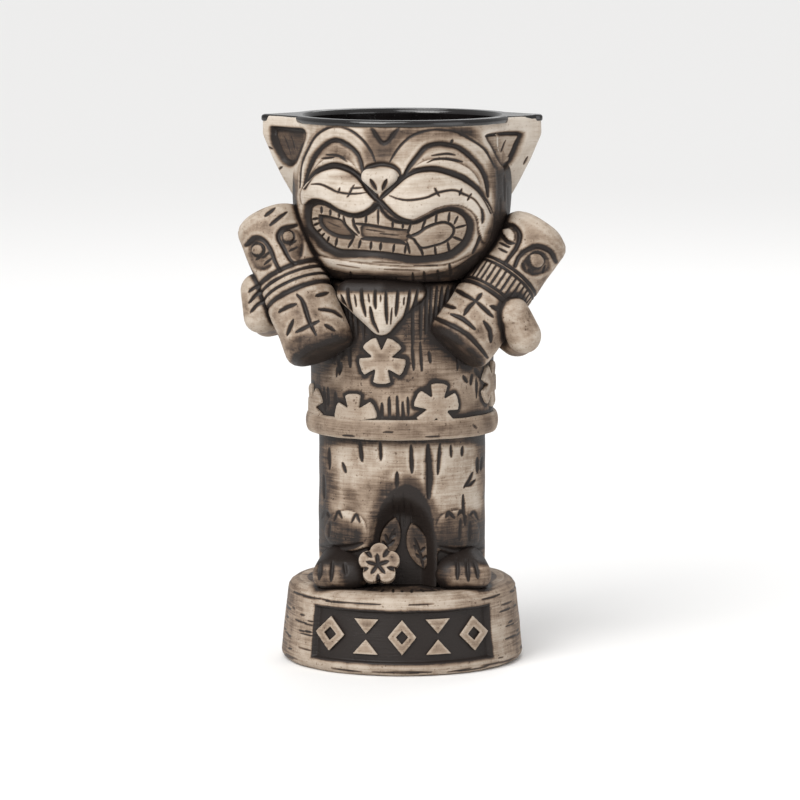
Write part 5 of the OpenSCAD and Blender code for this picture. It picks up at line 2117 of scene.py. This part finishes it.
    @staticmethod
    def right_face(c: Carver) -> None:
        """Carves the right beaker's mask, branching strokes and arcs.

        Args:
            c: The carver laid on the clay.
        """
        c.groove([(33.6, 154.2), (37.1, 154.8), (39.6, 151.8), (38.6, 147.4), (35, 142.3)], 1.3, 0.8, 1.0, 0.3)
        c.cushion([(33.8, 152.8), (36.4, 153.4), (38, 151.4), (37.6, 149.2), (35.4, 149.8)], 1.2, 1.6)
        c.groove([(33.4, 151.6), (35.8, 149), (38, 148.6)], 0.8, 0.5, 0.95)
        c.strokes([[(32.8, 149), (36.4, 147.2)], [(32.6, 147), (35.6, 145.4)]], 0.6, 0.35, 0.75)
        c.groove([
            (38.1, 140.9), (39.4, 144), (42.1, 146.4), (45.8, 147.6), (49.9, 145.9), (51.9, 142.3)
        ], 1.4, 0.8, 1.0, 0.3)
        c.region([
            (40, 141), (42.6, 145), (46, 146.2), (49.4, 144.4), (50, 140), (46, 137.6), (42, 138.4)
        ], -0.5, 1.4, 0.08)
        c.cushion([(43.4, 144.6), (46.4, 145), (48, 142.6), (46.4, 140.4), (43.8, 141)], 1.2, 1.8)
        c.strokes([
            [(41.8, 139.6), (40.6, 142)], [(43.6, 138.6), (43, 140)], [(48.6, 141), (47.6, 138.4)]
        ], 0.6, 0.35, 0.8)
        c.strokes([
            [(17.5, 133.1), (21.4, 131), (24.9, 129)], [(26.8, 131.6), (24.9, 129)],
            [(24.9, 129), (22.6, 127), (20.9, 124.3)], [(24.9, 129), (27.6, 126.6), (30.7, 123.6)],
            [(16.5, 124.6), (20.4, 123), (24.6, 119.5)], [(27.6, 122.2), (29.6, 119), (30, 115.1)],
            [(13.6, 128), (18, 126.6)], [(30, 127.4), (32.4, 126)]
        ], 1.05, 0.6, 1.0)
        c.groove([(9.6, 124), (16.5, 120.9), (21.9, 117.7), (25.9, 113.6), (28.8, 109.8)], 1.3, 0.7, 1.0)
        c.press()
        c.tint([(8, 122), (16.5, 119.6), (21.4, 116.6), (25, 112.6), (28, 108), (20, 102), (6, 112)], 0.28, 1.4)

    def paw_end(self, along: int) -> np.ndarray:
        """Middle of the paw's round end nearest the arm, or of the other with -1.

        Args:
            along: -1 for the thumb's end, 1 for the other.

        Returns:
            The ball's centre.
        """
        turn, down, sunk, axis = self.grip
        reach = self.radius + self.paw_r - sunk
        a = math.radians(turn)
        p = np.array([self.side * reach * math.cos(a), -reach * math.sin(a), -down * self.long])
        return self.out(p + np.array(axis) * along * self.paw_l / 2)[0]

    def paw(self) -> Clay:
        """Models the paw.

        Returns:
            The clay.
        """
        balls = [(*self.paw_end(s), self.paw_r) for s in (-1, 1)]
        clay = Lump(self.word + "_paw", [balls], 0.36, 4).model()
        c = SHEET.lay(clay)
        if self.side < 0:
            c.strokes([
                [(-51.6, 132.1), (-50, 133.4), (-47.9, 134.5)],
                [(-51.6, 128.4), (-48.6, 131.6), (-44.8, 133.8)], [(-51, 125.2), (-48.8, 127.6), (-45.8, 129.4)]
            ], 0.95, 0.6, 0.95)
        else:
            c.strokes([[(45.4, 131.6), (46.8, 129.6)], [(43, 133), (45, 131)]], 0.8, 0.45, 0.85)
        c.press()
        clay.uneven(6, 0.2, 20.0 + self.side)
        clay.settle_stain_shade_and_highlight()
        return clay

    def arm(self) -> Clay:
        """Models the arm.

        Returns:
            The clay.
        """
        b = self.body
        shoulder = (self.side * (b.neck_w / 2 + 1), b.neck_d * 0.15, b.neck_z - 12, self.arm_r + 0.5)
        paw = self.paw_end(1)
        elbow = (*(paw + np.array([-self.side * 2, self.arm_r + 5, -2])), self.arm_r)
        clay = Lump(self.word + "_arm", [[shoulder, elbow, (*paw, self.arm_r - 1)]], 0.4, 4).model()
        clay.uneven(7, 0.25, 30.0 + self.side)
        clay.settle_stain_shade_and_highlight()
        clay.stain(np.full(len(clay.co), 0.12))
        return clay


@dataclass
class Glazing:
    """The black glaze inside the mug and over its rim and ear tops."""

    body: Body
    tip_x: float = 46.0
    tip_r: float = 2.2
    root_x: float = 31.5
    root_y: float = 13.5
    root_r: float = 3.0

    def outline(self, bearing: np.ndarray) -> np.ndarray:
        """Distance from the axis to the edge of the rim and ears, by bearing.

        Args:
            bearing: Bearings from the front, in radians.

        Returns:
            The outline's points.
        """
        rx, rf, rb = (float(r) for r in self.body.head(np.array(self.body.clay_top)))
        s, c = np.abs(np.sin(bearing)), np.cos(bearing)
        ry = np.where(c > 0, rf, rb)
        head = 1 / np.sqrt((s / rx) ** 2 + (c / ry) ** 2)
        best = head.copy()
        for r in np.arange(30.0, self.tip_x + self.tip_r, 0.05):
            x, y = r * s, np.abs(r * c)
            t = np.clip((x - self.root_x) / (self.tip_x - self.root_x), 0, 1)
            gap = np.hypot(
                x - mix(self.root_x, self.tip_x, t), np.maximum(y - mix(self.root_y, 0, t), 0)
            ) - mix(self.root_r, self.tip_r, t)
            best = np.where((gap < 0) & (r > best), r, best)
        return best

    def rim(self) -> Clay:
        """Runs the glaze over the rim.

        Returns:
            The clay.
        """
        b = self.body
        top = b.clay_top
        profile = [
            (-0.3, top - 1.8), (-0.46, top - 1.5), (-0.55, top - 1.0), (-0.5, top - 0.4), (-0.25, top + 0.1),
            (0.3, top + 0.4), (9.6, top + 0.4), (10.0, top + 0.36), (10.3, top + 0.2), (10.4, top - 0.2),
            (10.4, top - 1.2), (10.05, top - 1.2), (0.02, top - 0.1), (0.02, top - 1.75)
        ]
        cuts = [1, 1, 1, 1, 1, 5, 1, 1, 1, 1, 0, 3, 1]
        clay, bearing, t, z, _, _ = Turning("rim_glaze", [(*p, 0.0) for p in profile], cuts, 720).spin()
        bearing = bearing + 0.28 * np.sin(2 * bearing)
        order = np.linspace(-np.pi, np.pi, 1441)
        edge = self.outline(order)
        edge = np.convolve(np.r_[edge[-6:], edge, edge[:6]], np.ones(5) / 5, "same")[6:-6]
        outer = np.interp(bearing, order, edge)
        rx, rf, rb = (float(r) - WALL for r in b.head(np.array(top - WALL)))
        s, c = np.sin(bearing), np.cos(bearing)
        inner = 1 / np.sqrt((s / rx) ** 2 + (c / np.where(c > 0, rf, rb)) ** 2)
        r = np.where(t <= 0, outer - t, np.where(t <= 10, mix(outer, inner, t / 10), inner - (t - 10)))
        drip = np.array([noise.noise(Vector((6 * math.sin(a), 6 * math.cos(a), 1.0))) for a in bearing])
        z = np.where((z < top - 1.0) & (t < 5), z + 0.35 * drip - 0.05, z)
        z = np.maximum(z, top - 1.8)
        clay.co = np.stack([r * s, -r * c, z], 1)
        return right_way_out(clay)

    def liner(self) -> Clay:
        """Lines the hollow inside from the plinth's floor to the rim.

        Returns:
            The clay.
        """
        b = self.body
        drum = 36.3
        heights = [
            WALL, b.leg_z - WALL, b.leg_z - WALL, b.leg_z, b.hem_z, b.hem_z + WALL, b.neck_z - 6, b.neck_z,
            b.neck_z + 8, b.neck_z + 20, b.clay_top
        ]
        kinds = [0, 0, 1, 1, 1, 2, 2, 2, 2, 2, 2]
        skins = (WALL + 0.05, WALL + GLAZE)
        corners = [(0.0, WALL + 0.05, 0.0)]
        corners += [
            (skins[0], z + (0.05 if i == 0 else -0.05 if i == 1 else 0), float(k))
            for i, (z, k) in enumerate(zip(heights, kinds))
        ]
        corners += [
            (skins[1], z + (GLAZE if i == 0 else -GLAZE if i in (1, 2) else 0), float(k))
            for i, (z, k) in reversed(list(enumerate(zip(heights, kinds))))
        ]
        corners += [(0.0, WALL + GLAZE, 0.0)]
        up = [6, 4, 2, 0, 24, 1, 12, 3, 6, 8, 24]
        cuts = up + [0] + up[::-1]
        turned = Turning("inner_glaze", corners, cuts, 200, closed=False, poles=(0, len(corners) - 1))
        clay, bearing, inset, z, kind, share = turned.spin()
        inset = np.where(share < 0.999, np.where(z < WALL + 0.2, skins[0], skins[1]), inset)
        lx, ly = b.ring(bearing, b.leg_w / 2 - inset, b.leg_d / 2 - inset, b.leg_d / 2 - inset)
        ly = ly + b.leg(lx, ly, z)
        upper = np.maximum(z, b.neck_z)
        head = b.head(np.maximum(b.neck_z, upper - inset))
        shirt = b.shirt(np.minimum(b.neck_z, z + inset))
        sx, sy = b.ring(bearing, *(np.where(z > b.neck_z, h, s) - inset for h, s in zip(head, shirt)))
        r = (drum + WALL - inset) * share
        x = np.where(kind < 1, mix(r * np.sin(bearing), lx, kind), mix(lx, sx, np.clip(kind - 1, 0, 1)))
        y = np.where(kind < 1, mix(-r * np.cos(bearing), ly, kind), mix(ly, sy, np.clip(kind - 1, 0, 1)))
        clay.co = np.stack([x, y, z], 1)
        return right_way_out(clay)


@dataclass
class Studio:
    """Pale floor, soft lights and the camera."""

    reach: float = 1.542
    lift: float = 7.1
    aim: float = 0.095
    lens: float = 199.035
    sensor: float = 36
    shift: tuple[float, float] = (-2 / 800, -13.5 / 800)
    sight: float = 50
    floor_half: float = 20
    sky: float = 0.5
    sun_power: float = 1.9
    sun_spread: float = 50
    sun_way: tuple[float, float, float] = (0.45, 0.75, -1.0)

    def floor(self) -> bpy.types.Object:
        """Lays the pale floor.

        Returns:
            The floor.
        """
        bm = bmesh.new()
        bmesh.ops.create_grid(bm, x_segments=8, y_segments=8, size=self.floor_half)
        mesh = bpy.data.meshes.new("floor")
        bm.to_mesh(mesh)
        bm.free()
        made = bpy.data.materials.new("studio_paper")
        made.use_nodes = True
        skin = made.node_tree.nodes["Principled BSDF"]
        skin.inputs["Base Color"].default_value = Tone.PAPER.linear()
        skin.inputs["Roughness"].default_value = 0.9
        mesh.materials.append(made)
        floor = bpy.data.objects.new("floor", mesh)
        bpy.context.scene.collection.objects.link(floor)
        return floor

    def light(
        self, name: str, place: tuple[float, float, float], size: float, power: float,
        tint: tuple[float, float, float] = (1, 1, 1)
    ) -> None:
        """Hangs one soft light that looks at the mug.

        Args:
            name: Its name.
            place: Where it hangs, in metres.
            size: Width of its square.
            power: Its power in watts.
            tint: Its colour.
        """
        data = bpy.data.lights.new(name, "AREA")
        data.shape = "SQUARE"
        data.size = size
        data.energy = power
        data.color = tint
        lamp = bpy.data.objects.new(name, data)
        lamp.location = place
        lamp.rotation_euler = (Vector((0, 0, self.aim)) - Vector(place)).to_track_quat("-Z", "Y").to_euler()
        bpy.context.scene.collection.objects.link(lamp)

    def world(self) -> None:
        """Sets the even white surround and the soft daylight from the upper left."""
        world = bpy.data.worlds.new("studio")
        world.use_nodes = True
        sky = world.node_tree.nodes["Background"]
        sky.inputs["Color"].default_value = (1, 1, 1, 1)
        sky.inputs["Strength"].default_value = self.sky
        bpy.context.scene.world = world
        data = bpy.data.lights.new("daylight", "SUN")
        data.angle = math.radians(self.sun_spread)
        data.energy = self.sun_power
        sun = bpy.data.objects.new("daylight", data)
        sun.rotation_euler = Vector(self.sun_way).to_track_quat("-Z", "Y").to_euler()
        bpy.context.scene.collection.objects.link(sun)

    def camera(self) -> None:
        """Sets up the camera."""
        data = bpy.data.cameras.new("view")
        data.sensor_width = self.sensor
        data.lens = self.lens
        data.shift_x, data.shift_y = self.shift
        data.clip_end = self.sight
        cam = bpy.data.objects.new("view", data)
        lift = math.radians(self.lift)
        target = Vector((0, 0, self.aim))
        cam.location = target + self.reach * Vector((0, -math.cos(lift), math.sin(lift)))
        cam.rotation_euler = (target - cam.location).to_track_quat("-Z", "Y").to_euler()
        bpy.context.scene.collection.objects.link(cam)
        bpy.context.scene.camera = cam

    def build(self) -> None:
        """Sets up the whole studio."""
        self.floor()
        self.world()
        self.light("key", (-0.7, -1.15, 0.9), 0.7, 8, (1.0, 0.985, 0.96))
        self.light("fill", (1.0, -0.9, 0.4), 0.8, 2.5, (0.97, 0.98, 1.0))
        self.light("hair", (0.25, 1.0, 1.1), 0.7, 4)
        self.camera()
        bpy.context.scene.view_settings.view_transform = "Standard"


def main() -> None:
    """Builds every piece, dresses it and sets up the studio."""
    logging.basicConfig(level=logging.INFO, format="%(name)s: %(message)s")
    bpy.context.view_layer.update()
    head = CatHead(BODY)
    shirt = Shirt(BODY)
    legs = Legs(BODY)
    base = Plinth()
    glazing = Glazing(BODY)
    left = Beaker(
        -1, BODY, place=(-36.76, -17.93, 132.5), tilt=23.0, grip=(-14.0, 0.0, 3.6, (-0.3, 0.35, -0.89))
    )
    right = Beaker(1, BODY, place=(32.89, -18.23, 131.0), tilt=37.0, grip=(30.0, 0.15, 4.0, (0.9, 0.25, -0.35)))

    clays: dict[str, Clay] = {}
    dress: dict[str, Bisque] = {}

    def keep(clay: Clay, finish: Bisque) -> None:
        """Notes a worked piece and its finish."""
        clays[clay.name], dress[clay.name] = clay, finish

    keep(base.shell(BODY), BASE_CLAY)
    keep(base.marks(), TRIM_CLAY)
    keep(legs.shell(), LEG_CLAY)
    for side in (-1, 1):
        keep(legs.foot(side), LEG_CLAY)
        keep(legs.leaf(side), LEG_CLAY)
        keep(head.ear(side), FACE_CLAY)
    keep(legs.flower(), TRIM_CLAY)
    keep(shirt.shell(), SHIRT_CLAY)
    keep(shirt.hem(), TRIM_CLAY)
    hem_top = span("shirt_hem")[1][2]
    for name, bearing, height, spin in (
        ("chest_flower", -13.6, BODY.neck_z - 26.5, 36), ("left_hem_flower", -33, hem_top + 0.6, 4),
        ("right_hem_flower", 24, hem_top + 4.4, -6), ("left_side_flower", -76, hem_top + 2, 20),
        ("right_side_flower", 76, hem_top + 10, 52), ("back_right_flower", 128, hem_top + 3, 30),
        ("back_flower", 180, hem_top + 12, 12), ("back_left_flower", -128, hem_top + 14, 66)
    ):
        keep(shirt.flower(name, bearing, height, spin), TRIM_CLAY)
    keep(head.shell(), FACE_CLAY)
    keep(head.nose(), FACE_CLAY)
    keep(head.beard(), FACE_CLAY)
    for beaker in (left, right):
        keep(beaker.cup(), CUP_CLAY)
        keep(beaker.paw(), CUP_CLAY)
        keep(beaker.arm(), CUP_CLAY)

    trees = {name: clay.tree() for name, clay in clays.items()}
    flowers = [name for name in clays if name.endswith("_flower") and name != "foot_flower"]
    meets = {
        "head_shell": ["left_beaker", "right_beaker", "beard", "shirt_shell"],
        "shirt_shell": [
            "head_shell", "left_beaker", "right_beaker", "left_arm", "right_arm", "beard", "shirt_hem"
        ],
        "shirt_hem": ["leg_shell"],
        "leg_shell": [
            "shirt_hem", "left_foot", "right_foot", "foot_flower", "left_leaf", "right_leaf", "plinth"
        ],
        "plinth": ["leg_shell", "left_foot", "right_foot", "foot_flower"],
        "left_beaker": ["head_shell", "left_paw", "left_arm", "shirt_shell"],
        "right_beaker": ["head_shell", "right_paw", "right_arm", "shirt_shell"],
        "left_arm": ["shirt_shell", "left_beaker"],
        "right_arm": ["shirt_shell", "right_beaker"],
        "left_paw": ["left_beaker"],
        "right_paw": ["right_beaker"],
        "beard": ["head_shell", "shirt_shell"],
        "nose": [],
        "left_foot": ["leg_shell", "foot_flower", "plinth"],
        "right_foot": ["leg_shell", "plinth"],
        "foot_flower": ["plinth", "left_foot"],
        "left_leaf": [],
        "right_leaf": []
    }
    # Width and darkness of the painted shade that each piece takes round the members it meets.
    soft = {
        "head_shell": (4.0, 0.4),
        "shirt_shell": (3.4, 0.3),
        "leg_shell": (3.0, 0.4),
        "plinth": (3.6, 0.45),
        "left_beaker": (3.0, 0.35),
        "right_beaker": (3.0, 0.35),
        "left_arm": (3.0, 0.3),
        "right_arm": (3.0, 0.3)
    }
    for name, others in meets.items():
        wide, shade = soft.get(name, (1.8, 0.3))
        clays[name].near([trees[o] for o in others], 1.0, wide, shade)
    # Dark seam lines and painted shade round the shirt's flowers.
    seams = [trees[f] for f in flowers]
    clays["shirt_shell"].near(seams, tight=0.9, wide=2.2)

    for name, clay in clays.items():
        set_down(clay, dress[name])
    set_down(glazing.liner(), GLAZE_COAT)
    set_down(glazing.rim(), GLAZE_COAT)
    Studio().build()


if __name__ == "__main__":
    main()
